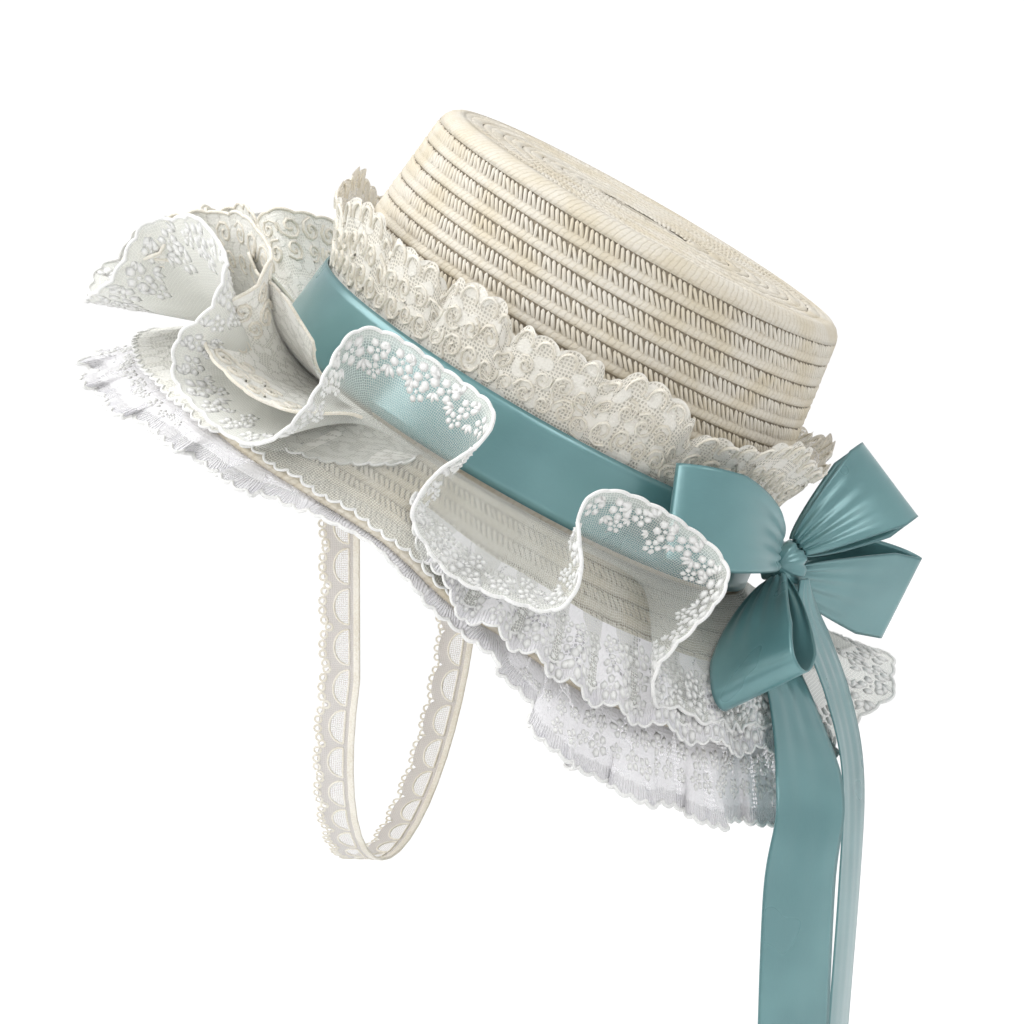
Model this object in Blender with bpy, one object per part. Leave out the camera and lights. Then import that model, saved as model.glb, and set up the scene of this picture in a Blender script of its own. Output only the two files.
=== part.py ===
"""Poke bonnet: a flat-topped plaited straw hat worn tipped back, with lace frills, a satin band and bow,
two hanging ribbon ends and a pierced lace chin strap.

Units are metres and +Z is up. The front of the bonnet looks to -Y and the wearer's left is +X. The origin is
the middle of the head line, the oval where the crown meets the brim, and the whole hat leans back about it.
Angles round the hat run from its front (0 degrees) through the wearer's left (90) to its back (180).
"""
import math

import bmesh
import bpy
from mathutils import Matrix, Vector

# Driving dimensions
HAT_TILT = math.radians(30.0)

CROWN_HALF_LENGTH = 0.100
CROWN_HALF_WIDTH = 0.086
CROWN_HEIGHT = 0.107
CROWN_TAPER_LENGTH = 0.014
CROWN_TAPER_WIDTH = 0.013
CROWN_SHOULDER = 0.006
STRAW_WALL = 0.0020
ROW_PITCH = 0.0086
ROW_RELIEF = 0.0006

BRIM_REACH = 0.047
BRIM_DROP = 0.030
BRIM_CURVE = 1.08

FIT_GAP = 0.0003
CLOTH_GAP = 0.0010
LACE_WALL = 0.0010
RIBBON_WALL = 0.0010

BAND_WIDTH = 0.030
BAND_LIFT = 0.0028
BAND_BULGE = 0.0004
BOW_RIBBON_WIDTH = 0.036

FRILL_HEIGHT = 0.062
FRILL_FOOT = 0.016
FRILL_LEAN = 0.012
FRILL_PLEAT = 0.0060
FRILL_WAVE = 0.05
FRILL_FACING = 0.35
FRILL_CURVE = 1.2

RUFFLE_WIDTH = 0.056
RUFFLE_SWING = 0.016
RUFFLE_CURVE = 1.2
RUFFLE_EASE = 0.35

EDGE_LACE_HANG = 0.028
EDGE_LACE_PLEAT = 0.0035
EDGE_LACE_FALL = math.radians(48.0)
EDGE_LACE_SEAM = (0.84, 0.98)
PLEATED_HANG = 0.010

KNOT_HALF_SIDE = 0.0085
KNOT_HALF_UP = 0.0095
KNOT_HALF_OUT = 0.0098
KNOT_HEIGHT = 0.020
LOOP_LENGTH = 0.076
LOOP_BELLY = 0.012
LOOP_PINCH = 0.24
LOOP_WAIST = 0.25
LOOP_DISH = 0.12
TAIL_DROP = 0.190
TAIL_PINCH = 0.24

STRAP_WIDTH = 0.0150
STRAP_ANGLE = 60.0
STRAP_SEAT = 0.020
STRAP_DEPTH = 0.157
STRAP_STANDOFF = 0.0011
CHEEK_HALF_WIDTH = 0.078
CHEEK_DROP = 0.5
CHIN_FORWARD = 0.15
EYE_PITCH = 0.0150
EYE_HALF_WIDTH = 0.22
PICOT_DEPTH = 0.10

# How finely each piece is faceted
CROWN_SIDES = 32
BRIM_SIDES = 40
FRILL_GATHERS = 18
FRILL_STEPS = 5
FOLD_STEPS = 5
RUFFLE_ROWS = 4
EDGE_GATHERS = 26
EDGE_STEPS = 3
LOOP_STEPS = 16
TAIL_STEPS = 12
CHIN_STEPS = 10
SEARCH_STEPS = 24

# The brim round its edge: reach, drop and lace hang as shares of BRIM_REACH, BRIM_DROP and EDGE_LACE_HANG
BRIM_STATIONS = (
    {"angle": 0, "reach": 1.00, "drop": 0.92, "hang": 0.80},
    {"angle": 30, "reach": 1.00, "drop": 0.92, "hang": 0.72},
    {"angle": 60, "reach": 1.00, "drop": 0.88, "hang": 0.40},
    {"angle": 88, "reach": 1.00, "drop": 0.80, "hang": 0.04},
    {"angle": 108, "reach": 1.00, "drop": 1.08, "hang": 0.14},
    {"angle": 130, "reach": 1.00, "drop": 1.28, "hang": 0.95},
    {"angle": 155, "reach": 1.00, "drop": 1.26, "hang": 1.00},
    {"angle": 180, "reach": 1.04, "drop": 1.00, "hang": 0.85},
    {"angle": 210, "reach": 1.06, "drop": 0.95, "hang": 0.90},
    {"angle": 245, "reach": 1.02, "drop": 1.05, "hang": 0.60},
    {"angle": 275, "reach": 1.00, "drop": 0.80, "hang": 0.10},
    {"angle": 310, "reach": 1.00, "drop": 0.88, "hang": 0.45},
    {"angle": 335, "reach": 1.00, "drop": 0.92, "hang": 0.72},
)

# The folds of the tulle ruffle: its width as a share of RUFFLE_WIDTH, and the slope in degrees at which it
# leaves the ribbon and ends, in the plane of the hat, so that 90 stands straight up
RUFFLE_FOLDS = (
    {"angle": 0, "width": 1.12, "start": 2, "end": 20},
    {"angle": 20, "width": 1.34, "start": -18, "end": -16},
    {"angle": 44, "width": 1.30, "start": 6, "end": 50},
    {"angle": 62, "width": 1.16, "start": -20, "end": -20},
    {"angle": 83, "width": 0.94, "start": 0, "end": 108},
    {"angle": 106, "width": 0.94, "start": -26, "end": -26},
    {"angle": 126, "width": 0.94, "start": -8, "end": 92},
    {"angle": 147, "width": 1.00, "start": -40, "end": -40},
    {"angle": 170, "width": 0.98, "start": -38, "end": -40},
    {"angle": 190, "width": 1.04, "start": -32, "end": -30},
    {"angle": 208, "width": 1.22, "start": -16, "end": 6},
    {"angle": 228, "width": 1.05, "start": -24, "end": -24},
    {"angle": 250, "width": 0.96, "start": 0, "end": 102},
    {"angle": 274, "width": 0.96, "start": -24, "end": -22},
    {"angle": 297, "width": 1.05, "start": 2, "end": 96},
    {"angle": 317, "width": 1.18, "start": -18, "end": -18},
    {"angle": 334, "width": 1.26, "start": 12, "end": 50},
    {"angle": 348, "width": 1.20, "start": -14, "end": -12},
)

# The bow's loops seen from the knot, in the hat's own axes (side to the wearer's left, back, up): where each
# points, how far up the knot it starts (share of KNOT_HALF_UP), its length and belly as shares of LOOP_LENGTH
# and LOOP_BELLY, which strand carries the belly (-1 or 1, or 0 for both), and the way its ribbon's width lies
BOW_LOOPS = (
    {"name": "bow_loop_near_upper", "points": (80, -34, 5), "rise": 0.30, "length": 1.15, "belly": 0.72,
     "bias": -1.5, "across": (0.0, -0.50, 0.87)},
    {"name": "bow_loop_near_lower", "points": (66, 24, -30), "rise": -0.25, "length": 1.02, "belly": 0.75,
     "bias": 0.0, "across": (-0.24, 0.33, 0.91)},
    {"name": "bow_loop_far_upper", "points": (-48, 13, 37), "rise": 0.35, "length": 0.84, "belly": 0.50,
     "bias": -1.0, "across": (-0.16, 0.95, -0.30)},
    {"name": "bow_loop_far_lower", "points": (-70, 38, 6), "rise": -0.50, "length": 1.06, "belly": 0.50,
     "bias": -1.0, "across": (-0.14, 0.05, 0.98)},
)

# The hanging ends: how steeply each leaves the knot, in degrees below level, the way its face is turned there,
# the share of its length at which it has opened to its full width, and its run below the knot: how far down
# (share of TAIL_DROP), to the wearer's left and to the back (shares of the bow ribbon's width), and its turn
TAILS = (
    {"name": "ribbon_tail_wide", "leaves": 84, "turn": 158, "opens": 0.55, "run": (
        {"down": 0.05, "side": 0.02, "back": -0.28, "turn": 158},
        {"down": 0.20, "side": 0.50, "back": 0.10, "turn": 156},
        {"down": 0.37, "side": 1.24, "back": 0.44, "turn": 148},
        {"down": 0.55, "side": 1.48, "back": 0.38, "turn": 145},
        {"down": 1.00, "side": 1.48, "back": 0.30, "turn": 144})},
    {"name": "ribbon_tail_narrow", "leaves": 34, "turn": 176, "opens": 0.25, "run": (
        {"down": 0.04, "side": -0.20, "back": 0.16, "turn": 176},
        {"down": 0.20, "side": -0.52, "back": 0.40, "turn": 176},
        {"down": 0.36, "side": -0.50, "back": 0.57, "turn": 178},
        {"down": 0.58, "side": -0.32, "back": 0.58, "turn": 178},
        {"down": 1.00, "side": -0.30, "back": 0.42, "turn": 176})},
)

# Sizes that follow from them
ROUND = 360.0
RIGHT_ANGLE = 90.0
ROW_BEVEL = 0.1
FRILL_MID = ROW_RELIEF + FIT_GAP + LACE_WALL / 2.0
BAND_INSIDE = ROW_RELIEF + FIT_GAP + LACE_WALL + CLOTH_GAP
BAND_OUTSIDE = BAND_INSIDE + RIBBON_WALL
BAND_TOP = BAND_LIFT + BAND_WIDTH
LANDING_SHARE = 2.0 * STRAW_WALL / BRIM_REACH
SHOULDER_CUT = 0.3 * CROWN_SHOULDER
BRIM_SEARCH = 3.0


def clear_scene():
    """Empty the file's scene, so that the model starts from nothing."""
    for item in list(bpy.data.objects):
        bpy.data.objects.remove(item, do_unlink=True)


def paint(item, colour, roughness):
    """Give an object its own Principled material."""
    material = bpy.data.materials.new(item.name)
    material.use_nodes = True
    shader = material.node_tree.nodes["Principled BSDF"]
    shader.inputs["Base Color"].default_value = (*colour, 1.0)
    shader.inputs["Roughness"].default_value = roughness
    shader.inputs["Metallic"].default_value = 0.0
    item.data.materials.append(material)


def ease(share):
    """Smooth step from 0 to 1 with level ends."""
    share = min(max(share, 0.0), 1.0)
    return (1.0 - math.cos(math.pi * share)) / 2.0


def neighbours(rows, angle):
    """The table rows on either side of an angle round the hat, and how far it lies between them."""
    angle %= ROUND
    for index, row in enumerate(rows):
        following = rows[(index + 1) % len(rows)]
        span = (following["angle"] - row["angle"]) % ROUND
        passed = (angle - row["angle"]) % ROUND
        if passed < span:
            return row, following, passed / span
    return rows[-1], rows[0], 0.0


def around(rows, column, angle):
    """A table column at any angle round the hat, eased from row to row."""
    row, following, share = neighbours(rows, angle)
    return row[column] + (following[column] - row[column]) * ease(share)


def along(values, share):
    """The value, or point, at a share of the way through a list, on a smooth curve through them all."""
    place = share * (len(values) - 1)
    index = min(int(place), len(values) - 2)
    step = place - index
    nearby = [values[min(max(index + shift, 0), len(values) - 1)] for shift in (-1, 0, 1, 2)]
    before, start, end, after = nearby
    slope_in, slope_out = (end - before) / 2.0, (after - start) / 2.0
    return (start * (1 + 2 * step) * (1 - step) ** 2 + end * step ** 2 * (3 - 2 * step)
            + slope_in * step * (1 - step) ** 2 - slope_out * step ** 2 * (1 - step))


def oval(angle, half_length, half_width, height):
    """Point of a level oval about the crown's axis."""
    turn = math.radians(angle)
    return Vector((half_width * math.sin(turn), -half_length * math.cos(turn), height))


def outward(angle):
    """Level direction square to the crown's oval at this angle."""
    turn = math.radians(angle)
    return Vector((math.sin(turn) / CROWN_HALF_WIDTH, -math.cos(turn) / CROWN_HALF_LENGTH, 0.0)).normalized()


def crown_point(angle, height, offset):
    """Point beside the crown's tapering side: `offset` outside its plain face."""
    share = height / CROWN_HEIGHT
    return oval(angle, CROWN_HALF_LENGTH - CROWN_TAPER_LENGTH * share + offset,
                CROWN_HALF_WIDTH - CROWN_TAPER_WIDTH * share + offset, height)


def brim_fall(angle, share):
    """How far the brim's upper face, flat from facet to facet, has dropped at a share of its reach."""
    facet = ROUND / BRIM_SIDES
    before = math.floor(angle / facet) * facet
    between = (angle - before) / facet
    drop = (around(BRIM_STATIONS, "drop", before) * (1.0 - between)
            + around(BRIM_STATIONS, "drop", before + facet) * between)
    run = max(share - LANDING_SHARE, 0.0) / (1.0 - LANDING_SHARE)
    return BRIM_DROP * drop * run ** BRIM_CURVE


def brim_point(angle, share, sink=0.0):
    """Point on the brim's upper face, or `sink` below it, at a share of its reach."""
    reach = BRIM_REACH * around(BRIM_STATIONS, "reach", angle) * share - STRAW_WALL
    return oval(angle, CROWN_HALF_LENGTH + reach, CROWN_HALF_WIDTH + reach,
                -FIT_GAP - brim_fall(angle, share) - sink)


def brim_height(point):
    """Height of the brim's upper face under a point, carried on past its edge at the same slope."""
    angle = math.degrees(math.atan2(point.x / CROWN_HALF_WIDTH, -point.y / CROWN_HALF_LENGTH))
    low, high = 0.0, BRIM_SEARCH
    for _ in range(SEARCH_STEPS):
        share = (low + high) / 2.0
        reach = BRIM_REACH * around(BRIM_STATIONS, "reach", angle) * share - STRAW_WALL
        turn = math.hypot(point.x / (CROWN_HALF_WIDTH + reach), point.y / (CROWN_HALF_LENGTH + reach))
        low, high = (share, high) if turn > 1.0 else (low, share)
    return -FIT_GAP - brim_fall(angle, low)


def finish(name, mesh_build, parent):
    """Turn a bmesh into a named object with its faces outward."""
    bmesh.ops.recalc_face_normals(mesh_build, faces=mesh_build.faces)
    mesh = bpy.data.meshes.new(name)
    mesh_build.to_mesh(mesh)
    mesh_build.free()
    item = bpy.data.objects.new(name, mesh)
    bpy.context.scene.collection.objects.link(item)
    item.parent = parent
    mesh.shade_smooth()
    mesh.set_sharp_from_angle(angle=math.radians(50.0))
    return item


def loft(name, rings, parent, closed):
    """Solid through rings of equal count: joined end to end when `closed`, otherwise capped."""
    build = bmesh.new()
    rows = [[build.verts.new(point) for point in ring] for ring in rings]
    count = len(rows[0])
    pairs = list(zip(rows, rows[1:] + rows[:1])) if closed else list(zip(rows, rows[1:]))
    for here, there in pairs:
        for index in range(count):
            after = (index + 1) % count
            build.faces.new((here[index], here[after], there[after], there[index]))
    if not closed:
        build.faces.new(rows[0])
        build.faces.new(rows[-1])
    return finish(name, build, parent)


def cloth(name, grid, parent, wall, wrap=False, holes=()):
    """Sheet through a grid of points, thickened about its middle. `holes` lists the cells left open."""
    build = bmesh.new()
    rows = [[build.verts.new(point) for point in line] for line in grid]
    columns = len(rows[0])
    for line in range(len(rows) - 1):
        for index in range(columns if wrap else columns - 1):
            if (line, index) in holes:
                continue
            after = (index + 1) % columns
            build.faces.new((rows[line][index], rows[line][after], rows[line + 1][after],
                             rows[line + 1][index]))
    item = finish(name, build, parent)
    thicken = item.modifiers.new("wall", "SOLIDIFY")
    thicken.thickness = wall
    thicken.offset = 0.0
    return item


def ring_angles(count):
    """Evenly spaced angles round the hat."""
    return [ROUND * index / count for index in range(count)]


def make_crown(parent):
    """Hollow crown of stitched plaited rows, flat on top and open below."""
    angles = ring_angles(CROWN_SIDES)
    top_half_width = CROWN_HALF_WIDTH - CROWN_TAPER_WIDTH - CROWN_SHOULDER
    top_rows = int(top_half_width / ROW_PITCH)
    side_top = CROWN_HEIGHT - CROWN_SHOULDER
    side_rows = round(side_top / ROW_PITCH)
    side_pitch = side_top / side_rows
    profile = []
    for row in reversed(range(top_rows)):
        inset = CROWN_SHOULDER + row * ROW_PITCH
        profile.append((inset + (1.0 - ROW_BEVEL) * ROW_PITCH, CROWN_HEIGHT - ROW_RELIEF))
        profile.append((inset + ROW_BEVEL * ROW_PITCH, CROWN_HEIGHT))
    profile.append((SHOULDER_CUT, CROWN_HEIGHT - SHOULDER_CUT))
    for row in reversed(range(side_rows)):
        profile.append((0.0, (row + 1.0 - ROW_BEVEL) * side_pitch))
        profile.append((-ROW_RELIEF, (row + ROW_BEVEL) * side_pitch))
    profile.append((0.0, 0.0))
    inner_top = CROWN_HEIGHT - STRAW_WALL - ROW_RELIEF
    profile.append((STRAW_WALL, 0.0))
    profile.append((STRAW_WALL, side_top))
    profile.append((CROWN_SHOULDER, inner_top))
    profile.append((top_half_width, inner_top))
    rings = [[crown_point(angle, height, -inset) for angle in angles] for inset, height in profile]
    return loft("straw_crown", rings, parent, closed=False)


def make_brim(parent):
    """Drooping brim whose rows go on from the crown's foot."""
    angles = ring_angles(BRIM_SIDES)
    rows = round(math.hypot(BRIM_REACH, BRIM_DROP) / ROW_PITCH)
    profile = [(0.0, 0.0)]
    for row in range(rows):
        profile.append(((row + ROW_BEVEL) / rows, ROW_RELIEF if row else 0.0))
        profile.append(((row + 1.0 - ROW_BEVEL) / rows, 0.0))
    profile.append((1.0, ROW_RELIEF))
    profile += [(share, STRAW_WALL) for share in (1.0, 0.5, 2.0 * LANDING_SHARE, 0.0)]
    rings = [[brim_point(angle, share, sink) for angle in angles] for share, sink in profile]
    return loft("straw_brim", rings, parent, closed=True)


def make_band(parent):
    """Satin ribbon round the crown's foot, slightly crowned across its width."""
    angles = ring_angles(BRIM_SIDES)
    middle = (BAND_LIFT + BAND_TOP) / 2.0
    section = ((BAND_INSIDE, BAND_LIFT), (BAND_OUTSIDE, BAND_LIFT), (BAND_OUTSIDE + BAND_BULGE, middle),
               (BAND_OUTSIDE, BAND_TOP), (BAND_INSIDE, BAND_TOP))
    rings = [[crown_point(angle, height, offset) for angle in angles] for offset, height in section]
    return loft("ribbon_band", rings, parent, closed=True)


def make_crown_frill(parent):
    """Gathered lace standing round the crown: flat behind the ribbon, flaring in pleats above it."""
    angles = ring_angles(FRILL_GATHERS * FRILL_STEPS)
    rows = [[crown_point(angle, height, FRILL_MID) for angle in angles] for height in (FRILL_FOOT, BAND_TOP)]
    for flare in (0.5, 1.0):
        line = []
        for angle in angles:
            pleat = (1.0 + math.cos(math.radians(angle * FRILL_GATHERS))) / 2.0
            wave = math.cos(math.radians(angle * FRILL_GATHERS / 2.0))
            facing = 1.0 - FRILL_FACING * (1.0 - math.cos(math.radians(2.0 * angle)))
            height = BAND_TOP + (FRILL_HEIGHT * (1.0 + FRILL_WAVE * wave) - BAND_TOP) * flare
            offset = FRILL_MID + FRILL_LEAN * facing * flare ** FRILL_CURVE + FRILL_PLEAT * pleat * flare
            line.append(crown_point(angle, height, offset))
        rows.append(line)
    return cloth("crown_lace_frill", rows, parent, LACE_WALL, wrap=True)


def ruffle_point(angle, share):
    """Point of the tulle ruffle, at a share of its width from the ribbon to its free edge."""
    row, following, between = neighbours(RUFFLE_FOLDS, angle)
    width = RUFFLE_WIDTH * around(RUFFLE_FOLDS, "width", angle)
    start = math.radians(around(RUFFLE_FOLDS, "start", angle))
    end = math.radians(around(RUFFLE_FOLDS, "end", angle))
    bend = end - start
    length = width * share
    if abs(bend) < 1e-4:
        out, up = length * math.cos(start), length * math.sin(start)
    else:
        turn = bend * share
        out = width / bend * (math.sin(start + turn) - math.sin(start))
        up = width / bend * (math.cos(start) - math.cos(start + turn))
    change = min(abs(following["end"] - row["end"]) / RIGHT_ANGLE, 1.0)
    swing = RUFFLE_SWING * (RUFFLE_EASE + (1.0 - RUFFLE_EASE) * change) * share ** RUFFLE_CURVE
    direction = outward(angle)
    tangent = Vector((-direction.y, direction.x, 0.0))
    foot = crown_point(angle, 0.0, BAND_INSIDE)
    point = foot + direction * out + tangent * swing * math.sin(2.0 * math.pi * between)
    point.z = max(up, brim_height(point) + CLOTH_GAP + LACE_WALL)
    return point


def make_ruffle(parent):
    """Wide tulle ruffle round the crown's foot, in folds that stand up and fall over the brim by turns."""
    angles = []
    for row, following in zip(RUFFLE_FOLDS, RUFFLE_FOLDS[1:] + RUFFLE_FOLDS[:1]):
        span = (following["angle"] - row["angle"]) % ROUND
        angles += [row["angle"] + span * step / FOLD_STEPS for step in range(FOLD_STEPS)]
    rows = [[ruffle_point(angle, line / RUFFLE_ROWS) for angle in angles] for line in range(RUFFLE_ROWS + 1)]
    return cloth("brim_tulle_ruffle", rows, parent, LACE_WALL, wrap=True)


def make_edge_lace(parent):
    """Gathered lace sewn under the brim's edge and hanging past it in pleats."""
    angles = ring_angles(EDGE_GATHERS * EDGE_STEPS)
    sink = STRAW_WALL + CLOTH_GAP + LACE_WALL / 2.0
    rows = [[brim_point(angle, share, sink) for angle in angles] for share in EDGE_LACE_SEAM]
    for share in (0.5, 1.0):
        line = []
        for angle in angles:
            hang = EDGE_LACE_HANG * around(BRIM_STATIONS, "hang", angle)
            gathered = EDGE_LACE_PLEAT * min(hang / PLEATED_HANG, 1.0)
            pleat = gathered * math.cos(math.radians(angle * EDGE_GATHERS))
            out = (hang * math.cos(EDGE_LACE_FALL) + pleat) * share
            down = Vector((0.0, 0.0, hang * math.sin(EDGE_LACE_FALL) * share))
            line.append(brim_point(angle, 1.0, sink) + outward(angle) * out - down)
        rows.append(line)
    return cloth("brim_edge_lace", rows, parent, LACE_WALL, wrap=True)


def knot_centre():
    """Middle of the bow's knot, in the hat's axes, seated on the band at the back."""
    return crown_point(ROUND / 2.0, KNOT_HEIGHT, BAND_OUTSIDE + BAND_BULGE + FIT_GAP + KNOT_HALF_OUT)


def knot_reach(start, ahead):
    """How far the knot's surface lies from a point near its middle, both seen from there, going `ahead`."""
    sizes = (KNOT_HALF_SIDE, KNOT_HALF_OUT, KNOT_HALF_UP)
    place = Vector([along_axis / size for along_axis, size in zip(start, sizes)])
    run = Vector([along_axis / size for along_axis, size in zip(ahead, sizes)])
    slant = place.dot(run)
    inside = slant ** 2 + run.dot(run) * (1.0 - place.dot(place))
    return (math.sqrt(max(inside, 0.0)) - slant) / run.dot(run)


def knot_edge(ahead, across, half, rise=0.0):
    """Middle of a ribbon's end where it leaves the knot: the ribbon goes `ahead` and its width lies `across`."""
    start = Vector((0.0, 0.0, KNOT_HALF_UP * rise))
    reach = max(knot_reach(start + across * half * side, ahead) for side in (-1.0, -0.5, 0.0, 0.5, 1.0))
    return knot_centre() + start + ahead * (reach + FIT_GAP + RIBBON_WALL / 2.0)


def make_knot(parent):
    """Plump wrapped knot of the bow."""
    build = bmesh.new()
    bmesh.ops.create_uvsphere(build, u_segments=12, v_segments=8, radius=1.0)
    sizes = Matrix.Diagonal((KNOT_HALF_SIDE, KNOT_HALF_OUT, KNOT_HALF_UP, 1.0))
    bmesh.ops.transform(build, matrix=Matrix.Translation(knot_centre()) @ sizes, verts=build.verts)
    return finish("bow_knot", build, parent)


def make_loop(row, parent):
    """One loop of the bow: a ribbon that leaves the knot, bends round and comes back to it."""
    ahead = Vector(row["points"]).normalized()
    across = Vector(row["across"])
    across = (across - ahead * across.dot(ahead)).normalized()
    bulge = ahead.cross(across)
    root = knot_edge(ahead, across, LOOP_PINCH * BOW_RIBBON_WIDTH / 2.0, row["rise"])
    length = LOOP_LENGTH * row["length"] - KNOT_HALF_UP
    belly = LOOP_BELLY * row["belly"]
    lines = ([], [], [])
    for step in range(LOOP_STEPS + 1):
        turn = 2.0 * math.pi * step / LOOP_STEPS
        reach = (1.0 - math.cos(turn)) / 2.0
        side = math.sin(turn) * (LOOP_WAIST + (1.0 - LOOP_WAIST) * math.sqrt(reach))
        strand = math.copysign(1.0, LOOP_STEPS / 2 - step) if step != LOOP_STEPS / 2 else 0.0
        shift_out = belly * (side + row["bias"] * abs(side)) + RIBBON_WALL * strand
        middle = root + ahead * length * reach + bulge * shift_out
        half = BOW_RIBBON_WIDTH / 2.0 * (LOOP_PINCH + (1.0 - LOOP_PINCH) * min(1.0, 1.25 * reach ** 0.75))
        dip = LOOP_DISH * half * (1.0 - reach)
        for line, shift in zip(lines, (-1.0, 0.0, 1.0)):
            line.append(middle + across * half * shift + bulge * dip * (1.0 - abs(shift)))
    return cloth(row["name"], lines, parent, RIBBON_WALL)


def hat_to_row(point):
    """A point of the tipped hat, in the upright axes."""
    return Matrix.Rotation(-HAT_TILT, 3, "X") @ point


def row_to_hat(point):
    """A point of the upright axes, in the tipped hat's."""
    return Matrix.Rotation(HAT_TILT, 3, "X") @ point


def make_tail(row):
    """A ribbon end that hangs straight down from under the knot."""
    leaves, turn = math.radians(row["leaves"]), math.radians(row["turn"])
    ahead = Vector((math.sin(turn) * math.cos(leaves), -math.cos(turn) * math.cos(leaves), -math.sin(leaves)))
    below = hat_to_row(knot_centre() + Vector((0.0, KNOT_HALF_OUT, -KNOT_HALF_UP)))
    across = Vector((math.cos(turn), math.sin(turn), 0.0))
    half = TAIL_PINCH * BOW_RIBBON_WIDTH / 2.0
    places = [hat_to_row(knot_edge(row_to_hat(ahead), row_to_hat(across), half))]
    for part in row["run"]:
        places.append(below + Vector((part["side"] * BOW_RIBBON_WIDTH, part["back"] * BOW_RIBBON_WIDTH,
                                      -part["down"] * TAIL_DROP)))
    turns = [row["turn"]] + [part["turn"] for part in row["run"]]
    lines = ([], [])
    for step in range(TAIL_STEPS + 1):
        share = step / TAIL_STEPS
        turn = math.radians(along(turns, share))
        half = BOW_RIBBON_WIDTH / 2.0 * min(1.0, TAIL_PINCH + (1.0 - TAIL_PINCH) * share / row["opens"])
        for line, side in zip(lines, (-half, half)):
            line.append(along(places, share) + Vector((math.cos(turn), math.sin(turn), 0.0)) * side)
    return cloth(row["name"], lines, None, RIBBON_WALL)


def strap_path():
    """Middle line of the chin strap from its left seat inside the crown round under the chin to the right."""
    inset = -STRAW_WALL - STRAP_STANDOFF - LACE_WALL / 2.0
    seat = hat_to_row(crown_point(STRAP_ANGLE, STRAP_SEAT, inset))
    lip = hat_to_row(crown_point(STRAP_ANGLE, -2.0 * STRAW_WALL, inset))
    chin_start = -STRAP_DEPTH + CHEEK_HALF_WIDTH
    left = [seat, lip, Vector((CHEEK_HALF_WIDTH, lip.y, lip.z - CHEEK_DROP * CHEEK_HALF_WIDTH))]
    for step in range(CHIN_STEPS + 1):
        turn = math.pi / 2.0 * step / CHIN_STEPS
        fall = CHEEK_HALF_WIDTH * math.sin(turn)
        left.append(Vector((CHEEK_HALF_WIDTH * math.cos(turn), lip.y - CHIN_FORWARD * fall, chin_start - fall)))
    return left + [Vector((-point.x, point.y, point.z)) for point in reversed(left[:-1])]


def walk(path, spacing):
    """Points evenly spaced along a path of straight runs."""
    lengths = [(b - a).length for a, b in zip(path, path[1:])]
    count = max(2, round(sum(lengths) / spacing))
    points = []
    for index in range(count + 1):
        target = sum(lengths) * index / count
        for start, end, length in zip(path, path[1:], lengths):
            if target <= length or end is path[-1]:
                points.append(start.lerp(end, min(target / length, 1.0)))
                break
            target -= length
    return points


def make_strap():
    """Lace chin strap, its eyes cut through beside a straight edge at the back."""
    points = walk(strap_path(), EYE_PITCH / 2.0)
    points = points[:len(points) - 1 + len(points) % 2]
    wall = outward(STRAP_ANGLE)
    lines = ([], [], [], [])
    for index, point in enumerate(points):
        ahead = (points[min(index + 1, len(points) - 1)] - points[max(index - 1, 0)]).normalized()
        from_seat = min(index, len(points) - 1 - index) * EYE_PITCH / 2.0
        side = 1.0 if index < len(points) / 2.0 else -1.0
        along_wall = hat_to_row(Vector((-wall.y * side, wall.x, 0.0)))
        back = along_wall.lerp(Vector((0.0, 1.0, 0.0)), ease(from_seat / CHEEK_HALF_WIDTH))
        back = (back - ahead * back.dot(ahead)).normalized()
        dent = 0.0 if index % 2 else PICOT_DEPTH
        for line, share in zip(lines, (0.5, EYE_HALF_WIDTH, dent / 2.0 - EYE_HALF_WIDTH, dent - 0.5)):
            line.append(point + back * STRAP_WIDTH * share)
    holes = {(1, index) for index in range(2, len(points) - 3, 2)}
    return cloth("chin_strap", lines, None, LACE_WALL, holes=holes)


def main():
    clear_scene()
    hat = bpy.data.objects.new("hat_lean", None)
    hat.rotation_euler = (-HAT_TILT, 0.0, 0.0)
    bpy.context.scene.collection.objects.link(hat)

    straw = (0.80, 0.72, 0.56)
    ivory = (0.86, 0.83, 0.74)
    teal = (0.16, 0.36, 0.38)
    for item in (make_crown(hat), make_brim(hat)):
        paint(item, straw, 0.75)
    for item in (make_crown_frill(hat), make_ruffle(hat), make_edge_lace(hat), make_strap()):
        paint(item, ivory, 0.85)
    ribbons = [make_band(hat), make_knot(hat)]
    ribbons += [make_loop(row, hat) for row in BOW_LOOPS]
    ribbons += [make_tail(row) for row in TAILS]
    for item in ribbons:
        paint(item, teal, 0.35)


main()
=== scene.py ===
# %% [markdown]
# This lesson dresses a straw bonnet. The solids of the bonnet were measured and packed before, and they
# come in here as a frame that never moves. Every piece made below takes the place of one of those solids,
# with the detail that a solid leaves out: plaited straw, satin, tulle and lace.

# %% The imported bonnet
import math

import bmesh
import bpy
import numpy as np
from mathutils import Matrix, Vector


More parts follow.
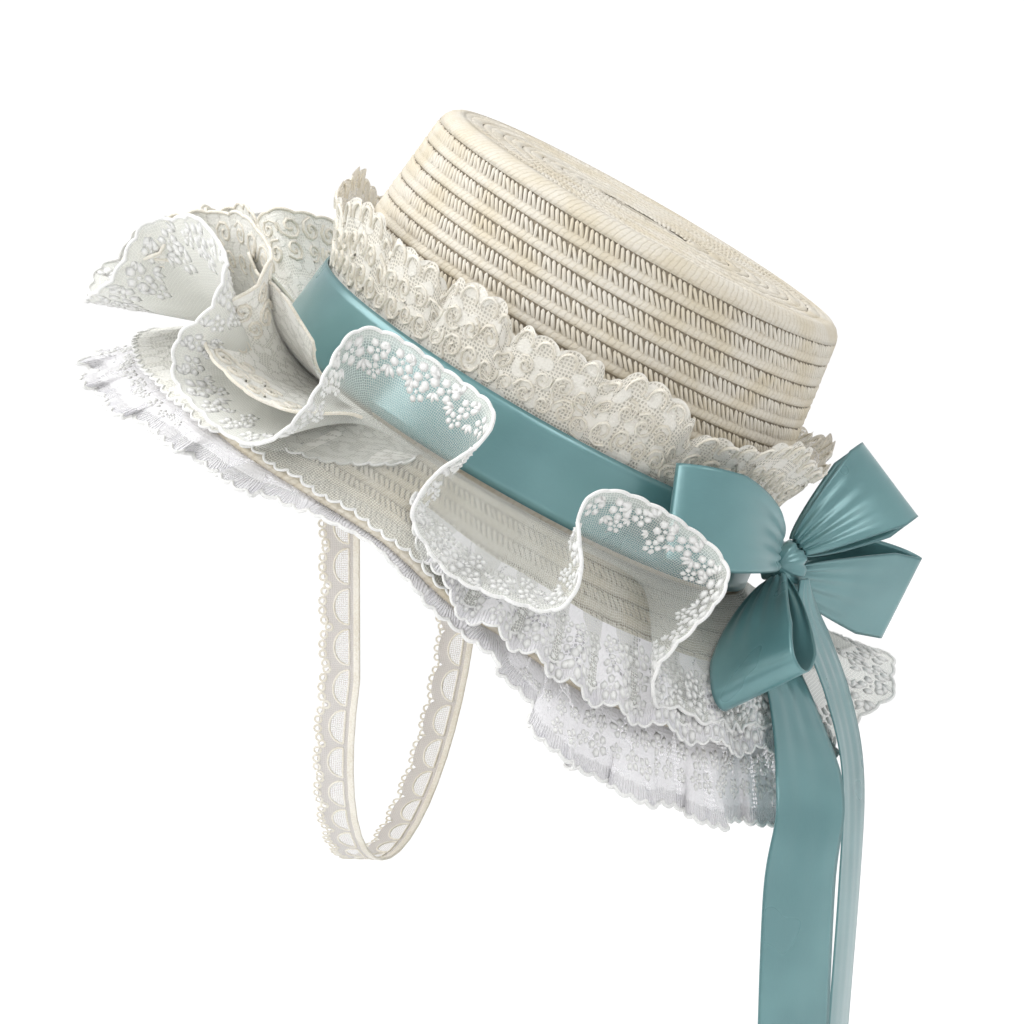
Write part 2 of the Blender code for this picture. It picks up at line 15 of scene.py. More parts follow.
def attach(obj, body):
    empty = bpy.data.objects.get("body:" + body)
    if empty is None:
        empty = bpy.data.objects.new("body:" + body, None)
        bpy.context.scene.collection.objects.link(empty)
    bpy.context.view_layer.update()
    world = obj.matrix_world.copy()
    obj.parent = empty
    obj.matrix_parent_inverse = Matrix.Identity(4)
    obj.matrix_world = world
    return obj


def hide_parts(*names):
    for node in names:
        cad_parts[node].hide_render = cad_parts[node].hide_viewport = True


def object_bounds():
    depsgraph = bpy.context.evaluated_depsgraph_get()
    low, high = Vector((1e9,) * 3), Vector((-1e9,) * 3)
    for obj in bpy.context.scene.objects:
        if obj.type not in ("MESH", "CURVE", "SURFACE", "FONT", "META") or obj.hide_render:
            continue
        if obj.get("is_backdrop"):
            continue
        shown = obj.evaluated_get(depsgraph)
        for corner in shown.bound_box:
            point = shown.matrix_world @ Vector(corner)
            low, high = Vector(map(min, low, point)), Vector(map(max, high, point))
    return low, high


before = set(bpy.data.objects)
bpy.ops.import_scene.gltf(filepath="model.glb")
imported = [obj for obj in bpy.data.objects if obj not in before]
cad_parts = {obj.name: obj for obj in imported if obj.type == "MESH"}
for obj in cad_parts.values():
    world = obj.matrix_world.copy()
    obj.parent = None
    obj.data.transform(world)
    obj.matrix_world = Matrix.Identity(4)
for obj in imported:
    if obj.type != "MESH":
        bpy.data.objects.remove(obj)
cad_box = [[float(value) for value in corner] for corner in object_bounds()]
print("solids", len(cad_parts), "box", cad_box)

# %% [markdown]
# The photograph was taken from the wearer's left and a little behind, almost level with the hat. A long
# lens keeps the ovals of brim and crown true. The camera is moved a little sideways and down, not turned,
# so that the middle of the hat falls where it does in the photograph.

# %% The camera
AZIMUTH, ELEVATION = math.radians(105.0), math.radians(3.5)
towards = Vector((math.sin(AZIMUTH) * math.cos(ELEVATION), -math.cos(AZIMUTH) * math.cos(ELEVATION),
                  math.sin(ELEVATION)))
rightwards = Vector((0.0, 0.0, 1.0)).cross(towards).normalized()
upwards = towards.cross(rightwards)
camera = bpy.data.objects.new("camera", bpy.data.cameras.new("camera"))
bpy.context.scene.collection.objects.link(camera)
camera.data.lens = 136.8
place = towards * 1.5 + rightwards * 0.0008 - upwards * 0.0208
camera.matrix_world = Matrix.Translation(place) @ Matrix((rightwards, upwards, towards)).transposed().to_4x4()
bpy.context.scene.camera = camera
print("camera at", [round(value, 3) for value in place])

# %% [markdown]
# The hat leans back by 30 degrees about the middle of its head line. Its pieces are worked out in the
# hat's own axes, where the crown stands straight, and turned at the end. Angles run round the hat from
# its front (0) through the wearer's left (90) to the back (180). These are the same formulas as the
# solids', written for whole arrays.

# %% The hat's ovals
LEAN = math.radians(30.0)
HAT_TO_ROW = np.array(((1.0, 0.0, 0.0), (0.0, math.cos(LEAN), math.sin(LEAN)),
                       (0.0, -math.sin(LEAN), math.cos(LEAN))))
HALF_LENGTH, HALF_WIDTH, CROWN_HEIGHT = 0.100, 0.086, 0.107
TAPER_LENGTH, TAPER_WIDTH, SHOULDER = 0.014, 0.013, 0.006
WALL, GAP, CLOTH_GAP = 0.0020, 0.0003, 0.0010
BRIM_REACH, BRIM_DROP, BRIM_CURVE = 0.047, 0.030, 1.08
LANDING = 2.0 * WALL / BRIM_REACH

# The brim round its edge: angle, then reach, drop and lace hang as shares
BRIM = ((0, 1.00, 0.92, 0.80), (30, 1.00, 0.92, 0.72), (60, 1.00, 0.88, 0.40), (88, 1.00, 0.80, 0.04),
        (108, 1.00, 1.08, 0.14), (130, 1.00, 1.28, 0.95), (155, 1.00, 1.26, 1.00), (180, 1.04, 1.00, 0.85),
        (210, 1.06, 0.95, 0.90), (245, 1.02, 1.05, 0.60), (275, 1.00, 0.80, 0.10), (310, 1.00, 0.88, 0.45),
        (335, 1.00, 0.92, 0.72))


def around(rows, column, angles):
    """A table column at any angle round the hat, eased from row to row, with the share and the row passed."""
    table = np.array(rows, float)
    stops = np.append(table[:, 0], table[0, 0] + 360.0)
    values = np.append(table[:, column], table[0, column])
    turned = np.mod(np.asarray(angles, float) - stops[0], 360.0) + stops[0]
    index = np.clip(np.searchsorted(stops, turned, side="right") - 1, 0, len(rows) - 1)
    between = (turned - stops[index]) / (stops[index + 1] - stops[index])
    eased = (1.0 - np.cos(np.pi * between)) / 2.0
    return values[index] + (values[index + 1] - values[index]) * eased, between, index


def oval(angles, half_length, half_width, height):
    """Points of level ovals about the crown's axis."""
    turn = np.radians(angles)
    x, y, z = np.broadcast_arrays(half_width * np.sin(turn), -half_length * np.cos(turn), height)
    return np.stack((x, y, z), -1).astype(float)


def outward(angles):
    """Level directions square to the crown's oval."""
    turn = np.radians(angles)
    away = np.stack((np.sin(turn) / HALF_WIDTH, -np.cos(turn) / HALF_LENGTH, np.zeros_like(turn)), -1)
    return away / np.linalg.norm(away, axis=-1, keepdims=True)


def crown_point(angles, height, offset):
    """Points beside the crown's tapering side."""
    share = height / CROWN_HEIGHT
    return oval(angles, HALF_LENGTH - TAPER_LENGTH * share + offset,
                HALF_WIDTH - TAPER_WIDTH * share + offset, height)


def brim_point(angles, share, sink=0.0):
    """Points on the brim's upper face, or below it, at a share of its reach."""
    reach = BRIM_REACH * around(BRIM, 1, angles)[0] * share - WALL
    run = np.clip(share - LANDING, 0.0, None) / (1.0 - LANDING)
    fall = BRIM_DROP * around(BRIM, 2, angles)[0] * run ** BRIM_CURVE
    return oval(angles, HALF_LENGTH + reach, HALF_WIDTH + reach, -GAP - fall - sink)


def brim_height(points):
    """Height of the brim's upper face under points, carried on past its edge."""
    x, y = points[..., 0], points[..., 1]
    angles = np.degrees(np.arctan2(x / HALF_WIDTH, -y / HALF_LENGTH))
    wide = around(BRIM, 1, angles)[0] * BRIM_REACH
    low, high = np.zeros_like(x), np.full_like(x, 3.0)
    for _ in range(24):
        share = (low + high) / 2.0
        reach = wide * share - WALL
        past = np.hypot(x / (HALF_WIDTH + reach), y / (HALF_LENGTH + reach)) > 1.0
        low, high = np.where(past, share, low), np.where(past, high, share)
    return brim_point(angles, low)[..., 2]


print("brim's edge at the front, side and back", np.round(brim_point(np.array([0.0, 90.0, 180.0]), 1.0), 3))

# %% [markdown]
# Most pieces are sheets: a grid of points becomes a mesh, and the same grid laid flat, in metres, becomes
# its UV map. Patterns such as weave and net then follow the cloth at their real size wherever it bends.

# %% Sheets from grids


def place_mesh(name, mesh):
    """Put a mesh in the scene as an object at the origin."""
    piece = bpy.data.objects.new(name, mesh)
    bpy.context.scene.collection.objects.link(piece)
    return piece


def sheet(name, grid, flat, wrap=False, tipped=True, turned=False):
    """Quads through a grid of points. flat holds their places on the flat cloth, with one column more if
    wrap. tipped leans the grid back with the hat, and turned faces it the other way."""
    points = grid @ HAT_TO_ROW.T if tipped else grid
    rows, columns = points.shape[:2]
    across = columns if wrap else columns - 1
    line, column = np.meshgrid(np.arange(rows - 1), np.arange(across), indexing="ij")
    line, column = line.ravel(), column.ravel()
    lines = np.stack((line, line, line + 1, line + 1), 1)
    ahead = np.stack((column, column + 1, column + 1, column), 1)
    if turned:
        lines, ahead = lines[:, ::-1], ahead[:, ::-1]
    faces = lines * columns + ahead % columns
    mesh = bpy.data.meshes.new(name)
    mesh.from_pydata(points.reshape(-1, 3).tolist(), [], faces.tolist())
    layer = mesh.uv_layers.new(name="flat")
    layer.data.foreach_set("uv", flat[lines.ravel(), ahead.ravel()].astype(np.float32).ravel())
    mesh.shade_smooth()
    return place_mesh(name, mesh)


def walked(points, axis=0):
    """Distance walked along an array of points."""
    steps = np.linalg.norm(np.diff(points, axis=axis), axis=-1)
    start = np.zeros_like(np.take(steps, [0], axis=axis))
    return np.concatenate((start, np.cumsum(steps, axis=axis)), axis=axis)


def laid_flat(lengths, depths):
    """The flat places of a grid with these lengths across its columns and depths down its rows."""
    across, down = np.meshgrid(lengths, depths)
    return np.stack((across, down), -1)


def normals_of(grid):
    """Unit normals of a grid of points that goes all the way round."""
    padded = np.concatenate((grid[:, -1:], grid, grid[:, :1]), 1)
    square = np.cross(padded[:, 2:] - padded[:, :-2], np.gradient(grid, axis=0))
    return square / np.maximum(np.linalg.norm(square, axis=-1, keepdims=True), 1e-12)


def spread_evenly(points, angles, count):
    """The length of a line of points, and the distances and angles of so many places evenly along it."""
    walk = walked(points)
    even = np.linspace(0.0, float(walk[-1]), count)
    return float(walk[-1]), even, np.interp(even, walk, angles)


def whole_pitch(length, wish):
    """The pitch nearest to a wish that goes into a length a whole number of times."""
    return length / round(length / wish)


def scalloped(even, pitch, roundness=0.7):
    """0 where two scallops meet and 1 at the middle of each."""
    return np.abs(np.sin(np.pi * even / pitch)) ** roundness


def close_seams(piece):
    """Join the doubled points of a shell's seams and poles, then face it outward."""
    build = bmesh.new()
    build.from_mesh(piece.data)
    bmesh.ops.remove_doubles(build, verts=build.verts, dist=1e-6)
    bmesh.ops.recalc_face_normals(build, faces=build.faces)
    build.to_mesh(piece.data)
    build.free()
    piece.data.shade_smooth()


def mark(piece, name, values):
    """Give each point of a piece a number that its finish reads."""
    marks = piece.data.attributes.new(name, "FLOAT", "POINT")
    marks.data.foreach_set("value", np.asarray(values, np.float32).ravel())


def settle(piece, material=None, replaces=()):
    """Give a finished piece its finish, and say what it rides on and stands for."""
    if material is not None:
        piece.data.materials.clear()
        piece.data.materials.append(material)
    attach(piece, "root")
    if replaces:
        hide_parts(*replaces)
    triangles = sum(len(face.vertices) - 2 for face in piece.data.polygons)
    print(f"{piece.name}: {triangles} triangles")
    return piece


# %% [markdown]
# Finishes are node trees, and so are the trees that repeat a stitch or lay a motif on cloth. One small
# helper adds a node, sets its values and joins what feeds it, so that each tree below reads like a
# recipe.

# %% Nodes in one line each


def add(tree, kind, inputs=None, **settings):
    """A new node. inputs gives each socket, by name or number, a value or the socket that feeds it."""
    made = tree.nodes.new(kind)
    for key, value in settings.items():
        setattr(made, key, value)
    for key, value in (inputs or {}).items():
        if isinstance(key, int):
            socket = made.inputs[key]
        else:
            socket = next(item for item in made.inputs if item.name == key and item.enabled)
        if isinstance(value, bpy.types.NodeSocket):
            tree.links.new(value, socket)
        else:
            socket.default_value = value
    return made


def out(made, name=None):
    """A node's first open output, or the one of this name."""
    return next(item for item in made.outputs if item.enabled and name in (None, item.name))


def finish_named(name):
    """A new finish with its tree and shader."""
    finish = bpy.data.materials.new(name)
    finish.use_nodes = True
    return finish, finish.node_tree, finish.node_tree.nodes["Principled BSDF"]


def maths(tree, operation, first, second=0.0, third=0.0):
    """The result of one sum on values or sockets."""
    return add(tree, "ShaderNodeMath", {0: first, 1: second, 2: third}, operation=operation).outputs[0]


def blend_colours(tree, share, first, second, mode="MIX"):
    """One colour laid over another."""
    made = add(tree, "ShaderNodeMix", {0: share, 6: first, 7: second}, data_type="RGBA", blend_type=mode)
    return made.outputs[2]


def ramp(tree, value, low, high):
    """0 below low, 1 above high, smooth between."""
    made = add(tree, "ShaderNodeMapRange", {"Value": value, "From Min": low, "From Max": high},
               interpolation_type="SMOOTHSTEP")
    return out(made)


def flat_map(tree, scale=(1.0, 1.0, 1.0), turn=0.0):
    """The piece's flat UV map in metres, stretched and turned."""
    where = add(tree, "ShaderNodeUVMap", uv_map="flat")
    return out(add(tree, "ShaderNodeMapping", {"Vector": where.outputs[0], "Scale": scale,
                                               "Rotation": (0, 0, turn)}))


# %% [markdown]
# The hat is sewn from plaited paper straw. Each row has a smooth rounded lip, and above it an open comb
# of short slanted strands, with the shade of the recess showing between them. The rows are one closed
# shell whose section follows that shape, and the strands are a separate piece. A painted bump would not
# cast the small shadows that make the rows read, so both are real geometry. Painted shade is added as
# well: the straw's colour turns dark brown in the recesses between the strands and darker along the
# slanted creases of the lips.

# %% The finish of the straw


def tinted(colour, red, green, blue):
    """A colour made warmer or darker by shares of its parts."""
    return (colour[0] * red, colour[1] * green, colour[2] * blue, 1.0)


def straw_finish(name, colour, shade_colour, marks):
    """Matt cream straw with fibres along the plait, with painted shade: the colour turns to the shade colour
    where the shell's per-point shade attribute is 1. marks is how strongly painted shade darkens the slanted
    creases between the plait's strands, which the bump also presses in."""
    finish, tree, shader = finish_named(name)
    objects = out(add(tree, "ShaderNodeTexCoord"), "Object")
    patches = out(add(tree, "ShaderNodeTexNoise", {"Vector": objects, "Scale": 55.0, "Detail": 3.0}))
    specks = out(add(tree, "ShaderNodeTexNoise", {"Vector": objects, "Scale": 900.0, "Detail": 2.0}))
    fibres = out(add(tree, "ShaderNodeTexNoise", {
        "Vector": flat_map(tree, (380.0, 1500.0, 1.0), math.radians(24.0)), "Scale": 1.0, "Detail": 3.0}))
    warm = blend_colours(tree, ramp(tree, patches, 0.35, 0.68), (*colour, 1.0),
                         tinted(colour, 0.93, 0.89, 0.80))
    streaked = blend_colours(tree, maths(tree, "MULTIPLY", ramp(tree, fibres, 0.50, 0.72), 0.30), warm,
                             tinted(colour, 0.74, 0.68, 0.55))
    folds = add(tree, "ShaderNodeTexWave", {"Vector": flat_map(tree, (1.0, 1.0, 1.0), math.radians(-20.0)),
                                            "Scale": 132.0, "Distortion": 1.6, "Detail": 1.0,
                                            "Detail Scale": 3.0}, bands_direction="X")
    creases = maths(tree, "MULTIPLY", ramp(tree, out(folds, "Fac"), 0.66, 0.96), marks)
    # Painted shade along the slanted creases, which the bump below also presses in.
    crease_shaded = blend_colours(tree, maths(tree, "MULTIPLY", creases, 0.42), streaked,
                            tinted(colour, 0.62, 0.54, 0.40))
    # Painted shade: the recesses between the strands turn to the shade colour.
    painted_shade = add(tree, "ShaderNodeAttribute", attribute_name="painted_shade").outputs["Fac"]
    shaded = blend_colours(tree, painted_shade, crease_shaded, (*shade_colour, 1.0))
    relief = maths(tree, "MULTIPLY_ADD", fibres, 0.5, maths(tree, "MULTIPLY", specks, 0.35))
    height = maths(tree, "MULTIPLY_ADD", creases, -0.9, relief)
    bump = add(tree, "ShaderNodeBump", {"Height": height, "Strength": 0.7, "Distance": 0.0005})
    tree.links.new(shaded, shader.inputs["Base Color"])
    tree.links.new(out(bump), shader.inputs["Normal"])
    tree.links.new(maths(tree, "MULTIPLY_ADD", specks, 0.25, 0.58), shader.inputs["Roughness"])
    shader.inputs["Specular IOR Level"].default_value = 0.32
    shader.inputs["Sheen Weight"].default_value = 0.10
    return finish


# Painted shade: the dark brown that the straw turns in its recesses, between the strands and in the grooves
# of the brim's underside.
PAINTED_SHADE_BROWN = (0.36, 0.31, 0.235)
plait_lips = straw_finish("plaited_straw", (0.76, 0.715, 0.625), PAINTED_SHADE_BROWN, 0.45)
plait_strands = straw_finish("plaited_strands", (0.78, 0.735, 0.645), PAINTED_SHADE_BROWN, 0.0)

# %% The section of a plaited row
ROW_PITCH, ROUND_STEPS = 0.0086, 288
TOP_ROWS, SIDE_ROWS, BRIM_ROWS = 7, 12, 6
SIDE_TOP = CROWN_HEIGHT - SHOULDER
SIDE_PITCH = SIDE_TOP / SIDE_ROWS
# How far across a row, how proud of the wall in metres, and how much painted shade darkens it there
ROW_SECTION = ((0.00, -0.00050, 1.0), (0.10, -0.00055, 1.0), (0.50, -0.00035, 0.9), (0.58, 0.00015, 0.2),
               (0.68, 0.00048, 0.0), (0.86, 0.00060, 0.0), (0.97, 0.00030, 0.1))
round_angles = np.arange(ROUND_STEPS) * 360.0 / ROUND_STEPS


def closed_shell(name, rings, painted_shades, depths, length, material):
    """Closed shell through rings of points, with each ring's share of painted shade as an attribute."""
    grid = np.array(rings)
    flat = laid_flat(np.linspace(0.0, length, grid.shape[1] + 1), depths)
    shell = sheet(name, grid, flat, wrap=True)
    mark(shell, "painted_shade", np.repeat(np.array(painted_shades, np.float32), grid.shape[1]))
    close_seams(shell)
    shell.data.materials.append(material)
    return shell


# %% The plaited crown
section, painted_shades = [], []
for row in reversed(range(TOP_ROWS)):
    for across, proud, painted_shade in ROW_SECTION:
        section.append((SHOULDER + (row + 1 - across) * ROW_PITCH, CROWN_HEIGHT - 0.0004 + proud))
        painted_shades.append(painted_shade)
for bend in (0.0, 22.0, 45.0, 68.0, 90.0):
    reach = SHOULDER + 0.0004
    section.append((SHOULDER - reach * math.sin(math.radians(bend)),
                    SIDE_TOP + reach * math.cos(math.radians(bend))))
    painted_shades.append(0.0)
for row in range(SIDE_ROWS):
    for across, proud, painted_shade in ROW_SECTION:
        section.append((-proud, SIDE_TOP - (row + across) * SIDE_PITCH))
        painted_shades.append(painted_shade)
centre = HALF_WIDTH - TAPER_WIDTH
section = [(centre, CROWN_HEIGHT)] + section + [(0.0, 0.0), (WALL, 0.0), (WALL, SIDE_TOP - 0.002),
                                                (SHOULDER, CROWN_HEIGHT - WALL - 0.0006),
                                                (centre, CROWN_HEIGHT - WALL - 0.0006)]
# The crown's inside gets a little painted shade.
painted_shades = [0.0] + painted_shades + [0.2] * 5
rings = [crown_point(round_angles, height, -inset) for inset, height in section]
depths = walked(np.array(section))
straw_crown_shell = closed_shell("straw_crown_plait", rings, painted_shades, depths, 0.56, plait_lips)
print("crown rows", TOP_ROWS, "+", SIDE_ROWS, "side pitch", round(SIDE_PITCH * 1000, 2), "mm")

# %% The plaited brim
brim_rings, brim_painted_shades = [brim_point(round_angles, 0.0)], [0.0]
for row in range(BRIM_ROWS):
    for across, proud, painted_shade in ROW_SECTION:
        if row or across > 0.55:
            brim_rings.append(brim_point(round_angles, (row + across) / BRIM_ROWS, -proud))
            brim_painted_shades.append(painted_shade)
brim_rings.append(brim_point(round_angles, 1.0, 0.0006))
brim_painted_shades.append(0.0)
# The brim's underside, with painted shade in the grooves between its rows.
for row in reversed(range(BRIM_ROWS)):
    for across, proud in ((1.0, 0.0), (0.8, 0.0004), (0.4, 0.0003), (0.1, -0.0003)):
        brim_rings.append(brim_point(round_angles, (row + across) / BRIM_ROWS, WALL + proud))
        brim_painted_shades.append(0.0 if proud > 0.0 else 0.5)
brim_rings.append(brim_point(round_angles, 0.0, WALL))
brim_painted_shades.append(0.0)
brim_rings.append(brim_point(round_angles, 0.0))
brim_painted_shades.append(0.0)
depths = walked(np.array(brim_rings)[:, 0])
straw_brim_shell = closed_shell("straw_brim_plait", brim_rings, brim_painted_shades, depths, 0.74, plait_lips)
print("brim rows", BRIM_ROWS)

# %% [markdown]
# The strands of the comb repeat thousands of times at an even pitch along every row, which is what
# Geometry Nodes are for. Each row gives a guide line that knows which way is out. The tree turns it into
# a curve, sets points on it at the pitch, stands one small strand on each with its face outward, slants
# it, and makes some a little longer, thinner or more tilted than others, because hand-led machine plait
# is never even.

# %% A tree that sets strands along guide lines


def new_tree(name, sockets):
    """An empty modifier tree with named inputs. Returns the tree, its input sockets and its output node."""
    tree = bpy.data.node_groups.new(name, "GeometryNodeTree")
    tree.is_modifier = True
    tree.interface.new_socket("Geometry", in_out="INPUT", socket_type="NodeSocketGeometry")
    tree.interface.new_socket("Geometry", in_out="OUTPUT", socket_type="NodeSocketGeometry")
    for label, kind in sockets.items():
        tree.interface.new_socket(label, in_out="INPUT", socket_type="NodeSocket" + kind)
    return tree, tree.nodes.new("NodeGroupInput").outputs, tree.nodes.new("NodeGroupOutput")


def uneven(tree, low, high, seed):
    """A random vector for each point."""
    made = add(tree, "FunctionNodeRandomValue", {"Seed": seed}, data_type="FLOAT_VECTOR")
    made.inputs[0].default_value, made.inputs[1].default_value = low, high
    return out(made)


def spaced_tree():
    """Repeat an object along guide lines, its Z outward and its X along the line."""
    tree, given, last = new_tree("spaced_along_lines", {
        "Repeated": "Object", "Pitch": "Float", "Slant": "Float", "Uneven": "Float", "Seed": "Int",
        "Finish": "Material"})
    curve = add(tree, "GeometryNodeMeshToCurve", {"Mesh": given["Geometry"]})
    points = add(tree, "GeometryNodeResampleCurve", {"Curve": out(curve)}, mode="LENGTH")
    tree.links.new(given["Pitch"], points.inputs["Length"])
    away = add(tree, "GeometryNodeInputNamedAttribute", data_type="FLOAT_VECTOR")
    away.inputs["Name"].default_value = "out"
    tangent = add(tree, "GeometryNodeInputTangent")
    facing = add(tree, "FunctionNodeAxesToRotation", {
        "Primary Axis": out(away), "Secondary Axis": out(tangent)}, primary_axis="Z", secondary_axis="X")
    wobble = add(tree, "ShaderNodeVectorMath", {0: uneven(tree, (-0.3, -0.3, -0.5), (0.3, 0.3, 0.5),
                                                          given["Seed"])}, operation="SCALE")
    tree.links.new(given["Uneven"], wobble.inputs["Scale"])
    slanted = add(tree, "ShaderNodeCombineXYZ", {"Z": given["Slant"]})
    angles = add(tree, "ShaderNodeVectorMath", {0: out(wobble), 1: out(slanted)}, operation="ADD")
    turn = add(tree, "FunctionNodeEulerToRotation", {"Euler": out(angles)})
    turned = add(tree, "FunctionNodeRotateRotation", {"Rotation": out(facing), "Rotate By": out(turn)},
                 rotation_space="LOCAL")
    grown = add(tree, "ShaderNodeVectorMath", {0: uneven(tree, (-0.35, -0.22, -0.2), (0.25, 0.2, 0.3),
                                                         given["Seed"])}, operation="SCALE")
    tree.links.new(given["Uneven"], grown.inputs["Scale"])
    sizes = add(tree, "ShaderNodeVectorMath", {0: out(grown), 1: (1.0, 1.0, 1.0)}, operation="ADD")
    repeated = add(tree, "GeometryNodeObjectInfo", {"Object": given["Repeated"]}, transform_space="ORIGINAL")
    set_out = add(tree, "GeometryNodeInstanceOnPoints", {
        "Points": out(points), "Instance": out(repeated, "Geometry"), "Rotation": out(turned),
        "Scale": out(sizes)})
    solid = add(tree, "GeometryNodeRealizeInstances", {"Geometry": out(set_out)})
    painted = add(tree, "GeometryNodeSetMaterial", {"Geometry": out(solid), "Material": given["Finish"]})
    tree.links.new(out(painted), last.inputs["Geometry"])
    return tree


def grow(name, host, tree, **values):
    """Run a tree on a host, keep its result as a plain mesh, and take the host away."""
    modifier = host.modifiers.new(tree.name, "NODES")
    modifier.node_group = tree
    for item in tree.interface.items_tree:
        if item.item_type == "SOCKET" and item.in_out == "INPUT" and item.name.replace(" ", "_") in values:
            modifier[item.identifier] = values[item.name.replace(" ", "_")]
    bpy.context.view_layer.update()
    mesh = bpy.data.meshes.new_from_object(host.evaluated_get(bpy.context.evaluated_depsgraph_get()))
    host.modifiers.clear()
    bpy.data.objects.remove(host)
    mesh.name = name
    mesh.shade_smooth()
    return place_mesh(name, mesh)


def guide_lines(name, lines, outs=None, closed=True, tipped=True):
    """A mesh of edges only, one run for each line of points, with the outward directions as an attribute."""
    points, edges, start = [], [], 0
    for line in lines:
        count = len(line)
        points.append(line)
        steps = range(count if closed else count - 1)
        edges += [(start + step, start + (step + 1) % count) for step in steps]
        start += count
    points = np.concatenate(points)
    mesh = bpy.data.meshes.new(name)
    mesh.from_pydata((points @ HAT_TO_ROW.T if tipped else points).tolist(), edges, [])
    if outs is not None:
        away = np.concatenate(outs)
        away = away @ HAT_TO_ROW.T if tipped else away
        marks = mesh.attributes.new("out", "FLOAT_VECTOR", "POINT")
        marks.data.foreach_set("vector", away.astype(np.float32).ravel())
    return place_mesh(name, mesh)


def pattern(name, points, faces):
    """A small shape that a tree repeats. It is kept out of the render and removed at the end."""
    mesh = bpy.data.meshes.new(name)
    mesh.from_pydata([tuple(map(float, point)) for point in points], [], faces)
    mesh.shade_smooth()
    shape = place_mesh(name, mesh)
    patterns.append(shape)
    return shape


patterns = []
spaced_along_lines = spaced_tree()

# %% One strand of the comb
STRAND = (0.00072, 0.00315, 0.00050)
corners = [(0.0, -1.0, -0.6), (0.0, 1.0, -0.6)]
for far, half in ((-0.72, 1.0), (0.72, 1.0)):
    corners += [(-half, far, -0.5), (-half * 0.6, far, 0.75), (half * 0.6, far, 0.75), (half, far, -0.5)]
sides = [(2 + k, 2 + k + 1, 6 + k + 1, 6 + k) for k in range(3)]
ends = [(0, 3 + k, 2 + k) for k in range(3)] + [(1, 6 + k, 7 + k) for k in range(3)]
strand = pattern("strand", np.array(corners) * STRAND, sides + ends)

# %% The strands of crown and brim
STRAND_PLACE, STRAND_SLANT = 0.33, math.radians(32.0)
crown_lines, crown_outs, brim_lines, brim_outs = [], [], [], []
for row in range(TOP_ROWS):
    inset = SHOULDER + (row + 1 - STRAND_PLACE) * ROW_PITCH
    crown_lines.append(crown_point(round_angles, CROWN_HEIGHT - 0.0003, -inset))
    crown_outs.append(np.tile((0.0, 0.0, 1.0), (ROUND_STEPS, 1)))
for row in range(SIDE_ROWS):
    height = SIDE_TOP - (row + STRAND_PLACE) * SIDE_PITCH
    crown_lines.append(crown_point(round_angles, height, 0.0001))
    tipped_out = outward(round_angles) + np.array((0.0, 0.0, 0.125))
    crown_outs.append(tipped_out / np.linalg.norm(tipped_out, axis=1, keepdims=True))
for row in range(1, BRIM_ROWS):
    share = (row + STRAND_PLACE) / BRIM_ROWS
    nearby = [brim_point(round_angles, share + shift, -0.0001) for shift in (-0.02, 0.0, 0.02)]
    brim_lines.append(nearby[1])
    brim_outs.append(normals_of(np.stack(nearby))[1])
if brim_outs[0][0][2] < 0.0:
    brim_outs = [-away for away in brim_outs]
crown_strands = grow("straw_crown_strands", guide_lines("crown_guides", crown_lines, crown_outs),
                     spaced_along_lines, Repeated=strand, Pitch=0.00218, Slant=STRAND_SLANT, Uneven=0.35,
                     Seed=11, Finish=plait_strands)
brim_strands = grow("straw_brim_strands", guide_lines("brim_guides", brim_lines, brim_outs),
                    spaced_along_lines, Repeated=strand, Pitch=0.0023, Slant=STRAND_SLANT, Uneven=0.35,
                    Seed=12, Finish=plait_strands)
settle(straw_crown_shell, replaces=["straw_crown"])
settle(crown_strands)
settle(straw_brim_shell, replaces=["straw_brim"])
settle(brim_strands)

# %% [markdown]
# The ribbon is a dusty teal satin. Satin floats its threads along the ribbon, so it mirrors light in soft
# broad bands and shows almost no weave. The finish is a smooth shader with a faint thread grain, woven
# edges that are a little darker, and a slow change of shade where the cloth has been handled.

# %% The finish of the satin


